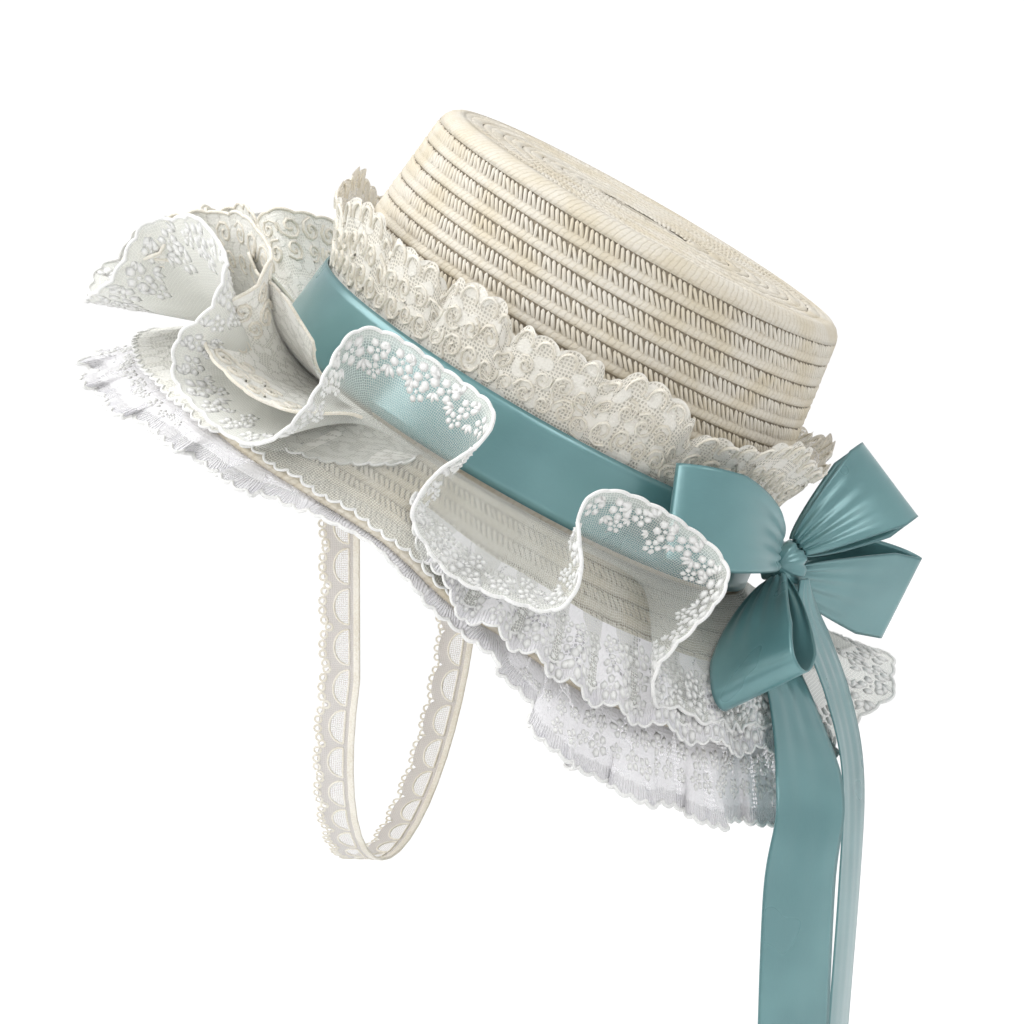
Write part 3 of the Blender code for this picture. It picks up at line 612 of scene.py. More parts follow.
def satin_finish(name, width):
    """Teal satin whose grain follows the ribbon, with selvedges at both edges of its width."""
    finish, tree, shader = finish_named(name)
    where = add(tree, "ShaderNodeUVMap", uv_map="flat")
    across = add(tree, "ShaderNodeSeparateXYZ", {"Vector": where.outputs[0]})
    from_edge = maths(tree, "SUBTRACT", width / 2.0,
                      maths(tree, "ABSOLUTE", maths(tree, "SUBTRACT", across.outputs["Y"], width / 2.0)))
    edge = maths(tree, "SUBTRACT", 1.0, ramp(tree, from_edge, 0.0004, 0.0011))
    objects = out(add(tree, "ShaderNodeTexCoord"), "Object")
    handled = out(add(tree, "ShaderNodeTexNoise", {"Vector": objects, "Scale": 26.0, "Detail": 2.0}))
    threads = out(add(tree, "ShaderNodeTexNoise", {
        "Vector": flat_map(tree, (260.0, 7000.0, 1.0)), "Scale": 1.0, "Detail": 2.0}))
    body = blend_colours(tree, ramp(tree, handled, 0.36, 0.66), (0.120, 0.275, 0.290, 1.0),
                         (0.150, 0.325, 0.340, 1.0))
    grained = blend_colours(tree, maths(tree, "MULTIPLY", ramp(tree, threads, 0.4, 0.7), 0.18), body,
                            (0.16, 0.36, 0.375, 1.0))
    coloured = blend_colours(tree, maths(tree, "MULTIPLY", edge, 0.45), grained, (0.055, 0.170, 0.185, 1.0))
    height = maths(tree, "MULTIPLY_ADD", edge, -0.6, maths(tree, "MULTIPLY", threads, 0.25))
    bump = add(tree, "ShaderNodeBump", {"Height": height, "Strength": 0.35, "Distance": 0.0003})
    tree.links.new(coloured, shader.inputs["Base Color"])
    tree.links.new(out(bump), shader.inputs["Normal"])
    tree.links.new(maths(tree, "MULTIPLY_ADD", handled, 0.10, maths(tree, "MULTIPLY_ADD", edge, 0.15, 0.24)),
                   shader.inputs["Roughness"])
    shader.inputs["Specular IOR Level"].default_value = 0.85
    shader.inputs["Metallic"].default_value = 0.30
    shader.inputs["Sheen Weight"].default_value = 0.30
    shader.inputs["Sheen Roughness"].default_value = 0.35
    shader.inputs["Sheen Tint"].default_value = (0.72, 0.92, 0.94, 1.0)
    shader.inputs["Anisotropic"].default_value = 0.55
    shader.inputs["Coat Weight"].default_value = 0.45
    shader.inputs["Coat Roughness"].default_value = 0.24
    return finish


BAND_WIDTH, BOW_WIDTH, RIBBON_WALL, LACE_WALL = 0.030, 0.036, 0.0010, 0.0010
band_satin = satin_finish("band_satin", BAND_WIDTH)
bow_satin = satin_finish("bow_satin", BOW_WIDTH)

# %% The ribbon round the crown
BAND_LIFT = 0.0028
BAND_TOP = BAND_LIFT + BAND_WIDTH
FRILL_MID = 0.0006 + GAP + LACE_WALL / 2.0
BAND_INSIDE = 0.0006 + GAP + LACE_WALL + CLOTH_GAP
BAND_OUTSIDE = BAND_INSIDE + RIBBON_WALL


def thicken(piece, wall):
    """Give a sheet a wall about its middle."""
    modifier = piece.modifiers.new("wall", "SOLIDIFY")
    modifier.thickness, modifier.offset = wall, 0.0
    return piece


band_angles = np.arange(360) * 1.0
rows = []
for share in np.linspace(0.0, 1.0, 9):
    pull = 0.00025 * np.sin(np.radians(band_angles * 9.0) + 5.0 * share) * math.sin(math.pi * share)
    bulge = 0.0004 * math.sin(math.pi * share)
    rows.append(crown_point(band_angles, BAND_LIFT + BAND_WIDTH * share,
                            (BAND_INSIDE + BAND_OUTSIDE) / 2.0 + bulge + pull))
band_length = float(walked(np.array(rows[4]))[-1])
band_flat = laid_flat(np.linspace(0.0, band_length, 361), np.linspace(0.0, BAND_WIDTH, 9))
ribbon_band_satin = sheet("ribbon_band_satin", np.array(rows), band_flat, wrap=True)
thicken(ribbon_band_satin, 0.0007)
settle(ribbon_band_satin, band_satin, ["ribbon_band"])
print("band", round(band_length * 1000), "mm long")

# %% [markdown]
# The bow is the same satin, a little wider. Each loop is one length of ribbon that leaves the knot,
# opens, turns back and returns, so it is made as a strip swept along that path: pinched and finely
# gathered at the knot, full width at the bend. Long soft creases fan out from the knot and fade. The knot
# is a short wrap of ribbon pulled tight, so it is a rounded form with folds that run round it.

# %% Where the bow's ribbons leave the knot
KNOT_SIDE, KNOT_OUT, KNOT_UP, KNOT_HEIGHT = 0.0085, 0.0098, 0.0095, 0.020
PINCH, WAIST, DISH, LOOP_LENGTH, LOOP_BELLY = 0.24, 0.25, 0.12, 0.076, 0.012
knot_centre = crown_point(np.array(180.0), KNOT_HEIGHT, BAND_OUTSIDE + 0.0004 + GAP + KNOT_OUT)


def unit(vector):
    """The direction of a vector."""
    return vector / np.linalg.norm(vector)


def knot_edge(ahead, across, half, rise=0.0):
    """Middle of a ribbon's end where it leaves the knot."""
    sizes = np.array((KNOT_SIDE, KNOT_OUT, KNOT_UP))
    start = np.array((0.0, 0.0, KNOT_UP * rise))
    run = ahead / sizes
    reaches = []
    for side in (-1.0, -0.5, 0.0, 0.5, 1.0):
        begin = (start + across * half * side) / sizes
        slant = begin @ run
        inside = slant ** 2 + (run @ run) * (1.0 - begin @ begin)
        reaches.append((math.sqrt(max(inside, 0.0)) - slant) / (run @ run))
    return knot_centre + start + ahead * (max(reaches) + GAP + RIBBON_WALL / 2.0)


# %% The loops of the bow
LOOPS = (("near_upper", (80, -34, 5), 0.30, 1.15, 0.72, -1.5, (0.0, -0.50, 0.87)),
         ("near_lower", (66, 24, -30), -0.25, 1.02, 0.75, 0.0, (-0.24, 0.33, 0.91)),
         ("far_upper", (-48, 13, 37), 0.35, 0.84, 0.50, -1.0, (-0.16, 0.95, -0.30)),
         ("far_lower", (-70, 38, 6), -0.50, 1.06, 0.50, -1.0, (-0.14, 0.05, 0.98)))
for number, (name, points_to, rise, length_share, belly_share, bias, width_lies) in enumerate(LOOPS):
    ahead = unit(np.array(points_to, float))
    across = np.array(width_lies)
    across = unit(across - ahead * (across @ ahead))
    bulge = np.cross(ahead, across)
    root = knot_edge(ahead, across, PINCH * BOW_WIDTH / 2.0, rise)
    length, belly = LOOP_LENGTH * length_share - KNOT_UP, LOOP_BELLY * belly_share
    steps = np.linspace(0.0, 1.0, 113)
    turn = 2.0 * np.pi * steps
    reach = (1.0 - np.cos(turn)) / 2.0
    side = np.sin(turn) * (WAIST + (1.0 - WAIST) * np.sqrt(reach))
    strand_side = np.clip((0.5 - steps) * 16.0, -1.0, 1.0)
    shift_out = belly * (side + bias * np.abs(side)) + RIBBON_WALL * strand_side
    middle = root + np.outer(reach, ahead) * length + np.outer(shift_out, bulge)
    half = BOW_WIDTH / 2.0 * (PINCH + (1.0 - PINCH) * np.minimum(1.0, 1.25 * reach ** 0.75))
    dip = DISH * half * (1.0 - reach)
    lines = []
    for share in np.linspace(-1.0, 1.0, 25):
        gathered = (1.0 - reach) ** 2 * 0.0009 * math.cos(4.5 * math.pi * share + number)
        crease = 0.0007 * reach * (1.0 - reach) * np.sin(3.0 * share + 2.0 * turn + number) * 2.0
        ripple = (gathered + crease) * np.sign(strand_side + 1e-9) \
            * np.minimum(np.abs(strand_side) * 2.0, 1.0)
        lines.append(middle + np.outer(half * share, across)
                     + np.outer(dip * (1.0 - abs(share)) + ripple, bulge))
    grid = np.array(lines)
    run = walked(middle)
    loop = sheet("bow_loop_" + name + "_satin", grid, laid_flat(run, np.linspace(0.0, BOW_WIDTH, 25)))
    thicken(loop, 0.0005)
    settle(loop, bow_satin, ["bow_loop_" + name])

# %% The knot
turns, rises = np.meshgrid(np.linspace(0.0, 2.0 * np.pi, 97)[:-1], np.linspace(0.0, np.pi, 49))
folds = 0.06 * np.sin(9.0 * turns + 1.6 * np.cos(rises) + 0.8 * np.sin(3.0 * turns)) \
    + 0.03 * np.sin(17.0 * turns + 2.0)
plump = 0.95 + folds * np.sin(rises) ** 0.5 + 0.02 * np.sin(5.0 * rises + 2.0 * turns)
# The wrap runs from the front of the knot over its top to the back, so its folds meet at its two sides
knot = np.stack((KNOT_SIDE * np.cos(rises), KNOT_OUT * np.sin(rises) * np.cos(turns) * plump,
                 KNOT_UP * np.sin(rises) * np.sin(turns) * plump), -1) + knot_centre
knot_flat = laid_flat(np.linspace(0.0, 0.058, 97), np.linspace(0.004, 0.030, 49))
bow_knot_satin = sheet("bow_knot_satin", knot, knot_flat, wrap=True)
close_seams(bow_knot_satin)
settle(bow_knot_satin, bow_satin, ["bow_knot"])

# %% [markdown]
# Two ends hang from the knot, one wide open and one seen nearly edge on. Ribbon that hangs free is almost
# flat, so each is a strip on a smooth path that widens below the knot, with one soft crease that fades as
# it falls.

# %% The hanging ends
TAIL_DROP = 0.190
TAILS = (("ribbon_tail_wide", 84, 158, 0.55, ((0.05, 0.02, -0.28, 158), (0.20, 0.50, 0.10, 156),
                                              (0.37, 1.24, 0.44, 148), (0.55, 1.48, 0.38, 145),
                                              (1.00, 1.48, 0.30, 144))),
         ("ribbon_tail_narrow", 34, 176, 0.25, ((0.04, -0.20, 0.16, 176), (0.20, -0.52, 0.40, 176),
                                                (0.36, -0.50, 0.57, 178), (0.58, -0.32, 0.58, 178),
                                                (1.00, -0.30, 0.42, 176))))


def along(values, shares):
    """Places at shares of the way through a list, on a smooth curve through them all."""
    values = np.array(values, float)
    spot = shares * (len(values) - 1)
    index = np.minimum(spot.astype(int), len(values) - 2)
    step = spot - index
    if values.ndim > 1:
        step = step[:, None]
    before, start, end, after = (values[np.clip(index + shift, 0, len(values) - 1)]
                                 for shift in (-1, 0, 1, 2))
    slope_in, slope_out = (end - before) / 2.0, (after - start) / 2.0
    return (start * (1 + 2 * step) * (1 - step) ** 2 + end * step ** 2 * (3 - 2 * step)
            + slope_in * step * (1 - step) ** 2 - slope_out * step ** 2 * (1 - step))


for name, leaves, turn, opens, run in TAILS:
    leaves, first = math.radians(leaves), math.radians(turn)
    ahead = np.array((math.sin(first) * math.cos(leaves), -math.cos(first) * math.cos(leaves),
                      -math.sin(leaves)))
    below = HAT_TO_ROW @ (knot_centre + np.array((0.0, KNOT_OUT, -KNOT_UP)))
    across = np.array((math.cos(first), math.sin(first), 0.0))
    root = HAT_TO_ROW @ knot_edge(HAT_TO_ROW.T @ ahead, HAT_TO_ROW.T @ across, PINCH * BOW_WIDTH / 2.0)
    places = [root] + [below + np.array((side * BOW_WIDTH, back * BOW_WIDTH, -down * TAIL_DROP))
                       for down, side, back, _ in run]
    shares = np.linspace(0.0, 1.0, 97)
    turned = np.radians(along([turn] + [part[3] for part in run], shares))
    middle = along(places, shares)
    half = BOW_WIDTH / 2.0 * np.minimum(1.0, PINCH + (1.0 - PINCH) * shares / opens)
    level = np.stack((np.cos(turned), np.sin(turned), np.zeros_like(turned)), -1)
    facing = np.stack((np.sin(turned), -np.cos(turned), np.zeros_like(turned)), -1)
    lines = []
    for share in np.linspace(-1.0, 1.0, 17):
        crease = 0.0009 * np.exp(-3.0 * shares) * math.cos(3.5 * math.pi * share)
        sway = 0.0007 * np.sin(9.0 * shares + 2.2 * share) * shares
        lines.append(middle + level * (half * share)[:, None] + facing * (crease + sway)[:, None])
    run_length = walked(middle)
    tail = sheet(name + "_satin", np.array(lines), laid_flat(run_length, np.linspace(0.0, BOW_WIDTH, 17)),
                 tipped=False)
    thicken(tail, 0.0005)
    settle(tail, bow_satin, [name])
    print(name, round(float(run_length[-1]) * 1000), "mm long")

# %% [markdown]
# Lace and tulle are nets. The net's threads are far too many to model, so the finish makes them: a
# pattern of cells in the cloth's own flat measure, opaque on the threads and clear between them. What is
# thicker than the net, such as cords, rolled edges and embroidered flowers, is real geometry laid on it.

# %% The finish of nets and lace


def lace_finish(name, colour, shade, cell, thread, motif, cover, veil, ribbed=None):
    """Lace in its flat measure: cell is the net's mesh, thread its share that is thread, motif the size of
    the darned flowers, cover how much of the cloth they fill, and veil how much the clear cells still hide.
    The attribute dense closes the cells where cloth lies doubled. ribbed is the flat depth at which a ribbed
    border starts."""
    finish, tree, shader = finish_named(name)
    flat = flat_map(tree)
    net = add(tree, "ShaderNodeTexVoronoi", {"Vector": flat, "Scale": 1.0 / cell, "Randomness": 0.35},
              voronoi_dimensions="2D", feature="DISTANCE_TO_EDGE")
    threads = maths(tree, "SUBTRACT", 1.0, ramp(tree, out(net), thread * 0.35, thread * 0.65))
    bent = add(tree, "ShaderNodeTexNoise", {"Vector": flat, "Scale": 0.8 / motif, "Detail": 1.0})
    swayed = add(tree, "ShaderNodeVectorMath", {
        0: out(bent, "Color"), 1: (motif * 0.7, motif * 0.7, 0.0), 2: flat}, operation="MULTIPLY_ADD")
    petals = add(tree, "ShaderNodeTexVoronoi",
                 {"Vector": out(swayed), "Scale": 1.0 / motif, "Randomness": 0.8},
                 voronoi_dimensions="2D", feature="F1")
    flowers = maths(tree, "SUBTRACT", 1.0, ramp(tree, out(petals), cover - 0.06, cover + 0.06))
    cloth = maths(tree, "MAXIMUM", threads, flowers)
    ribs = 0.0
    if ribbed is not None:
        depth = add(tree, "ShaderNodeSeparateXYZ", {"Vector": flat}).outputs["Y"]
        border = ramp(tree, depth, ribbed, ribbed + 0.0012)
        stripes = out(add(tree, "ShaderNodeTexWave", {"Vector": flat, "Scale": 262.0, "Distortion": 0.6},
                          bands_direction="X"), "Fac")
        ribs = maths(tree, "MULTIPLY", stripes, border)
        cloth = maths(tree, "MAXIMUM", cloth, border)
    dense = add(tree, "ShaderNodeAttribute", attribute_name="dense").outputs["Fac"]
    alpha = maths(tree, "MAXIMUM", cloth, maths(tree, "MULTIPLY_ADD", dense, 0.95 - veil, veil))
    stitches = add(tree, "ShaderNodeTexNoise", {"Vector": flat, "Scale": 1600.0, "Detail": 2.0})
    drawn = blend_colours(tree, maths(tree, "MAXIMUM", flowers, maths(tree, "MULTIPLY", threads, 0.45)),
                          tuple(0.95 * value for value in shade) + (1.0,), (*colour, 1.0))
    tint = blend_colours(tree, maths(tree, "MULTIPLY", ramp(tree, out(stitches), 0.5, 0.3), 0.35), drawn,
                         (*shade, 1.0))
    height = maths(tree, "MULTIPLY_ADD", flowers, 0.7, maths(tree, "MULTIPLY_ADD", threads, 0.3, ribs))
    bump = add(tree, "ShaderNodeBump", {"Height": height, "Strength": 0.8, "Distance": 0.0006})
    tree.links.new(tint, shader.inputs["Base Color"])
    tree.links.new(alpha, shader.inputs["Alpha"])
    tree.links.new(out(bump), shader.inputs["Normal"])
    shader.inputs["Roughness"].default_value = 0.80
    shader.inputs["Specular IOR Level"].default_value = 0.25
    shader.inputs["Sheen Weight"].default_value = 0.45
    return finish


def thread_finish(name, colour, shade, scale=1400.0):
    """Raised cord or embroidery: matt thread with fine twist."""
    finish, tree, shader = finish_named(name)
    objects = out(add(tree, "ShaderNodeTexCoord"), "Object")
    twist = out(add(tree, "ShaderNodeTexNoise", {"Vector": objects, "Scale": scale, "Detail": 3.0}))
    patches = out(add(tree, "ShaderNodeTexNoise", {"Vector": objects, "Scale": 70.0, "Detail": 1.0}))
    mixed = maths(tree, "MULTIPLY_ADD", twist, 0.6, maths(tree, "MULTIPLY", patches, 0.4))
    tint = blend_colours(tree, ramp(tree, mixed, 0.36, 0.62), (*shade, 1.0), (*colour, 1.0))
    bump = add(tree, "ShaderNodeBump", {"Height": twist, "Strength": 0.5, "Distance": 0.0003})
    tree.links.new(tint, shader.inputs["Base Color"])
    tree.links.new(out(bump), shader.inputs["Normal"])
    shader.inputs["Roughness"].default_value = 0.75
    shader.inputs["Specular IOR Level"].default_value = 0.25
    shader.inputs["Sheen Weight"].default_value = 0.25
    return finish


IVORY, IVORY_SHADE = (0.92, 0.89, 0.82), (0.84, 0.80, 0.71)
WHITE, WHITE_SHADE = (0.93, 0.92, 0.94), (0.85, 0.84, 0.88)
frill_lace = lace_finish("ivory_frill_lace", IVORY, IVORY_SHADE, 0.0014, 0.50, 0.0075, 0.40, 0.60)
sheer_tulle = lace_finish("sheer_tulle", (0.95, 0.95, 0.90), (0.91, 0.92, 0.86), 0.0010, 0.13, 0.020, 0.0,
                          0.09)
white_lace = lace_finish("white_edge_lace", WHITE, WHITE_SHADE, 0.0016, 0.38, 0.0110, 0.58, 0.42, 0.0315)
front_lace = lace_finish("front_ruffle_lace", (0.95, 0.94, 0.89), (0.90, 0.89, 0.82), 0.0013, 0.40, 0.0055,
                         0.44, 0.55)
strap_lace = lace_finish("strap_net", (0.82, 0.79, 0.75), (0.72, 0.68, 0.65), 0.0008, 0.30, 0.010, 0.0, 0.10)
ivory_thread = thread_finish("ivory_thread", (0.91, 0.875, 0.79), (0.80, 0.75, 0.64))
white_thread = thread_finish("white_thread", (0.92, 0.92, 0.90), (0.82, 0.82, 0.81))

# %% [markdown]
# Two more trees serve all the lace. One turns guide lines into cords, for rolled edges and outlines. The
# other takes motifs that are set out on flat cloth, as an embroiderer sets them out, and lays them on the
# gathered cloth: for each point it finds the place with the same flat coordinates on the cloth, and lifts
# it off by the motif's own height.

# %% A tree for cords


def cord_tree():
    """A cord of even thickness along guide lines."""
    tree, given, last = new_tree("cord_along_lines", {
        "Radius": "Float", "Sides": "Int", "Finish": "Material"})
    curve = add(tree, "GeometryNodeMeshToCurve", {"Mesh": given["Geometry"]})
    ring = add(tree, "GeometryNodeCurvePrimitiveCircle", {
        "Resolution": given["Sides"], "Radius": given["Radius"]})
    tube = add(tree, "GeometryNodeCurveToMesh", {"Curve": out(curve), "Profile Curve": out(ring),
                                                 "Fill Caps": True})
    solid = add(tree, "GeometryNodeRealizeInstances", {"Geometry": out(tube)})
    painted = add(tree, "GeometryNodeSetMaterial", {"Geometry": out(solid), "Material": given["Finish"]})
    tree.links.new(out(painted), last.inputs["Geometry"])
    return tree


cord_along_lines = cord_tree()


def cord(name, lines, radius, finish, sides=6, closed=True, tipped=True):
    """A cord along lines of points, as a finished piece."""
    piece = grow(name, guide_lines(name + "_guide", lines, closed=closed, tipped=tipped), cord_along_lines,
                 Radius=radius, Sides=sides, Finish=finish)
    return settle(piece)


# %% A tree that lays motifs on cloth


def laid_tree():
    """Motifs at points of the flat cloth, carried to the same places on the gathered cloth."""
    tree, given, last = new_tree("motifs_on_cloth", {
        "Motif": "Object", "Cloth": "Object", "Length": "Float", "Depth": "Float", "Uneven": "Float",
        "Seed": "Int", "Finish": "Material"})
    turn = add(tree, "GeometryNodeInputNamedAttribute", data_type="FLOAT")
    turn.inputs["Name"].default_value = "turn"
    size = add(tree, "GeometryNodeInputNamedAttribute", data_type="FLOAT")
    size.inputs["Name"].default_value = "size"
    drift = add(tree, "ShaderNodeVectorMath", {0: uneven(tree, (-0.3, -0.3, -0.6), (0.3, 0.3, 0.6),
                                                         given["Seed"])}, operation="SCALE")
    tree.links.new(given["Uneven"], drift.inputs["Scale"])
    parts = add(tree, "ShaderNodeSeparateXYZ", {"Vector": out(drift)})
    spin = maths(tree, "ADD", out(turn), parts.outputs["Z"])
    angles = add(tree, "ShaderNodeCombineXYZ", {"Z": spin})
    grown = maths(tree, "MULTIPLY", out(size), maths(tree, "ADD", 1.0, parts.outputs["X"]))
    motif = add(tree, "GeometryNodeObjectInfo", {"Object": given["Motif"]}, transform_space="ORIGINAL")
    set_out = add(tree, "GeometryNodeInstanceOnPoints", {
        "Points": given["Geometry"], "Instance": out(motif, "Geometry"),
        "Rotation": out(add(tree, "FunctionNodeEulerToRotation", {"Euler": out(angles)})), "Scale": grown})
    solid = add(tree, "GeometryNodeRealizeInstances", {"Geometry": out(set_out)})
    flat = add(tree, "ShaderNodeSeparateXYZ", {"Vector": out(add(tree, "GeometryNodeInputPosition"))})
    shares = [maths(tree, "DIVIDE", flat.outputs[axis], given[size])
              for axis, size in (("X", "Length"), ("Y", "Depth"))]
    kept_on = [maths(tree, "MINIMUM", maths(tree, "MAXIMUM", share, 0.0005), 0.9995) for share in shares]
    where = add(tree, "ShaderNodeCombineXYZ", {"X": kept_on[0], "Y": kept_on[1]})
    cloth = add(tree, "GeometryNodeObjectInfo", {"Object": given["Cloth"]}, transform_space="ORIGINAL")
    unit_map = add(tree, "GeometryNodeInputNamedAttribute", data_type="FLOAT_VECTOR")
    unit_map.inputs["Name"].default_value = "unit"
    found = []
    for value in ("GeometryNodeInputPosition", "GeometryNodeInputNormal"):
        sampled = add(tree, "GeometryNodeSampleUVSurface", {
            "Mesh": out(cloth, "Geometry"), "UV Map": out(unit_map), "Sample UV": out(where)},
            data_type="FLOAT_VECTOR")
        socket = next(item for item in sampled.inputs if item.name == "Value" and item.enabled)
        tree.links.new(out(add(tree, value)), socket)
        found.append(out(sampled, "Value"))
    lift = add(tree, "ShaderNodeVectorMath", {0: found[1]}, operation="SCALE")
    tree.links.new(flat.outputs["Z"], lift.inputs["Scale"])
    landed = add(tree, "ShaderNodeVectorMath", {0: found[0], 1: out(lift)}, operation="ADD")
    moved = add(tree, "GeometryNodeSetPosition", {"Geometry": out(solid), "Position": out(landed)})
    painted = add(tree, "GeometryNodeSetMaterial", {"Geometry": out(moved), "Material": given["Finish"]})
    tree.links.new(out(painted), last.inputs["Geometry"])
    return tree


motifs_on_cloth = laid_tree()


def carrier(name, grid, wrap=True, turned=False):
    """The smooth gathered cloth that motifs are laid on, with its flat places from 0 to 1. It isn't kept."""
    rows, columns = grid.shape[:2]
    across = np.linspace(0.0, 1.0, columns + 1 if wrap else columns)
    unit_flat = laid_flat(across, np.linspace(0.0, 1.0, rows))
    cloth = sheet(name, grid, unit_flat, wrap=wrap, turned=turned)
    cloth.data.uv_layers["flat"].name = "unit"
    patterns.append(cloth)
    return cloth


def set_out(name, places, turns, sizes):
    """Points of the flat cloth, each with a turn and a size for its motif."""
    mesh = bpy.data.meshes.new(name)
    mesh.from_pydata([(float(x), float(y), 0.0) for x, y in places], [], [])
    spots = place_mesh(name, mesh)
    for label, values in (("turn", turns), ("size", sizes)):
        mark(spots, label, np.broadcast_to(np.array(values, np.float32), len(places)))
    return spots


def embroider(name, motif, places, turns, sizes, cloth, length, depth, loose, seed, finish):
    """Motifs at places of the flat cloth, laid on the gathered cloth, as a finished piece. loose is how
    uneven they are."""
    piece = grow(name, set_out(name + "_places", places, turns, sizes), motifs_on_cloth, Motif=motif,
                 Cloth=cloth, Length=length, Depth=depth, Uneven=loose, Seed=seed, Finish=finish)
    return settle(piece)


# %% Motifs of the lace


def fan(points, faces, middle, rim, lift):
    """Add a plump lens: a rim in the cloth, and a raised middle on each side of it."""
    start = len(points)
    points.extend(((*middle, lift), (*middle, -lift)))
    points.extend((x, y, 0.0) for x, y in rim)
    count = len(rim)
    for k in range(count):
        here, after = start + 2 + k, start + 2 + (k + 1) % count
        faces.extend(((start, here, after), (start + 1, after, here)))


def flower_shape(petals, radius, petal, name):
    """An embroidered flower: plump petals round a button."""
    points, faces = [], []
    for number in range(petals):
        turn = 2.0 * math.pi * number / petals
        cx, cy = radius * math.cos(turn), radius * math.sin(turn)
        rim = []
        for k in range(6):
            bend = turn + 2.0 * math.pi * k / 6
            long = petal * (1.15 if k == 0 else 1.0 if k in (1, 5) else 0.75)
            rim.append((cx + long * math.cos(bend), cy + long * math.sin(bend)))
        fan(points, faces, (cx, cy), rim, 0.0007)
    rim = [(radius * 0.34 * math.cos(math.radians(a)), radius * 0.34 * math.sin(math.radians(a)))
           for a in range(0, 360, 72)]
    fan(points, faces, (0.0, 0.0), rim, 0.0009)
    return pattern(name, points, faces)


def leaf_shape(name, length, half):
    """A spray of three pointed leaves."""
    points, faces = [], []
    for turn in (-0.7, 0.0, 0.7):
        ux, uy = math.cos(turn), math.sin(turn)
        outline = ((0.0, 0.0), (0.4, -1.0), (0.75, -0.7), (1.0, 0.0), (0.75, 0.7), (0.4, 1.0))
        rim = [(ux * a * length - uy * b * half, uy * a * length + ux * b * half) for a, b in outline]
        fan(points, faces, (ux * length * 0.5, uy * length * 0.5), rim, 0.0006)
    return pattern(name, points, faces)


def cord_shape(name, line, half, lift):
    """A raised cord drawn on the cloth, with four sloping sides."""
    line = np.array(line, float)
    along_line = np.gradient(line, axis=0)
    square = np.stack((-along_line[:, 1], along_line[:, 0]), -1)
    square /= np.linalg.norm(square, axis=1, keepdims=True)
    points, faces = [], []
    for spot, side in zip(line, square):
        points += [(*(spot - side * half), 0.0), (*spot, lift), (*(spot + side * half), 0.0),
                   (*spot, -0.5 * lift)]
    for k in range(len(line) - 1):
        for step in range(4):
            after = (step + 1) % 4
            faces.append((4 * k + after, 4 * k + step, 4 * k + step + 4, 4 * k + after + 4))
    return pattern(name, points, faces)


flower = flower_shape(5, 0.0024, 0.0017, "flower")
leaves = leaf_shape("leaves", 0.0050, 0.0011)
turn = np.linspace(0.0, 2.0 * math.pi * 1.45, 13)
reach = 0.0008 + 0.0043 * turn / turn[-1]
scroll = cord_shape("scroll", np.stack((reach * np.cos(turn), reach * np.sin(turn)), -1), 0.00068, 0.00105)
turn = np.linspace(math.radians(-15.0), math.radians(195.0), 10)
arch = cord_shape("arch", np.stack((0.0040 * np.cos(turn), 0.0044 * np.sin(turn)), -1), 0.0007, 0.0010)

# %% [markdown]
# Behind the ribbon stands a frill of ivory lace, gathered into shells. Its foot is flat under the ribbon.
# Above, it flares away from the crown in pleats and ends in scallops, thick with looped cords near the
# ribbon and more open towards the top, where the straw shows through.

# %% The crown frill's gathered cloth
FRILL_FOOT, FRILL_HEIGHT, FRILL_LEAN, FRILL_PLEAT, FRILL_GATHERS = 0.016, 0.062, 0.012, 0.0060, 18
frill_angles = np.arange(1080) / 3.0


def frill_line(angles, flare, over=0.0):
    """The frill round the crown at a share of its height above the ribbon."""
    turn = np.radians(angles)
    pleat = 1.0 - np.exp(-(np.cos(turn * FRILL_GATHERS / 2.0 + 0.35 * np.sin(turn * 5)) / 0.30) ** 2)
    tucks = 0.05 * np.sin(turn * 54 + 1.0) + 0.05 * np.sin(turn * 37 + 2.0 * np.sin(turn * 5))
    calm = 1.0 - 0.7 * np.cos(turn) ** 6
    wave = np.cos(turn * FRILL_GATHERS / 2.0)
    lobe = -0.12 * (1.0 - pleat) * calm + 0.03 * np.sin(turn * 7 + 1.0)
    facing = 1.0 - 0.35 * (1.0 - np.cos(2.0 * turn))
    height = BAND_TOP + (FRILL_HEIGHT * (1.0 + 0.05 * wave + lobe) + over - BAND_TOP) * flare
    offset = FRILL_MID + FRILL_LEAN * facing * flare ** 1.2 \
        + FRILL_PLEAT * ((pleat + tucks) * calm + 0.15) * flare
    return crown_point(angles, height, offset)


frill_flares = np.linspace(0.0, 1.0, 17)
frill_edge = walked(frill_line(np.append(frill_angles, 360.0), 1.0))
FRILL_LENGTH = float(frill_edge[-1])
foot_rows = [crown_point(frill_angles, height, FRILL_MID)
             for height in np.linspace(FRILL_FOOT, BAND_TOP, 5)[:-1]]
SCALLOP = whole_pitch(FRILL_LENGTH, 0.0105)
bumps = scalloped(frill_edge[:-1], SCALLOP)
frill_grid = np.array(foot_rows + [frill_line(frill_angles, flare, 0.0026 * (bumps - 0.5) * flare ** 6)
                                   for flare in frill_flares])
frill_depths = np.concatenate((np.linspace(0.0, BAND_TOP - FRILL_FOOT, 5)[:-1],
                               BAND_TOP - FRILL_FOOT + (FRILL_HEIGHT - BAND_TOP) * frill_flares))
flat = np.stack(np.broadcast_arrays(frill_edge[None, :], frill_depths[:, None]), -1)
crown_frill = sheet("crown_frill_lace", frill_grid, flat, wrap=True)
settle(crown_frill, frill_lace, ["crown_lace_frill"])
print("frill", round(FRILL_LENGTH * 1000), "mm round its edge, scallops", round(SCALLOP * 1000, 1), "mm")

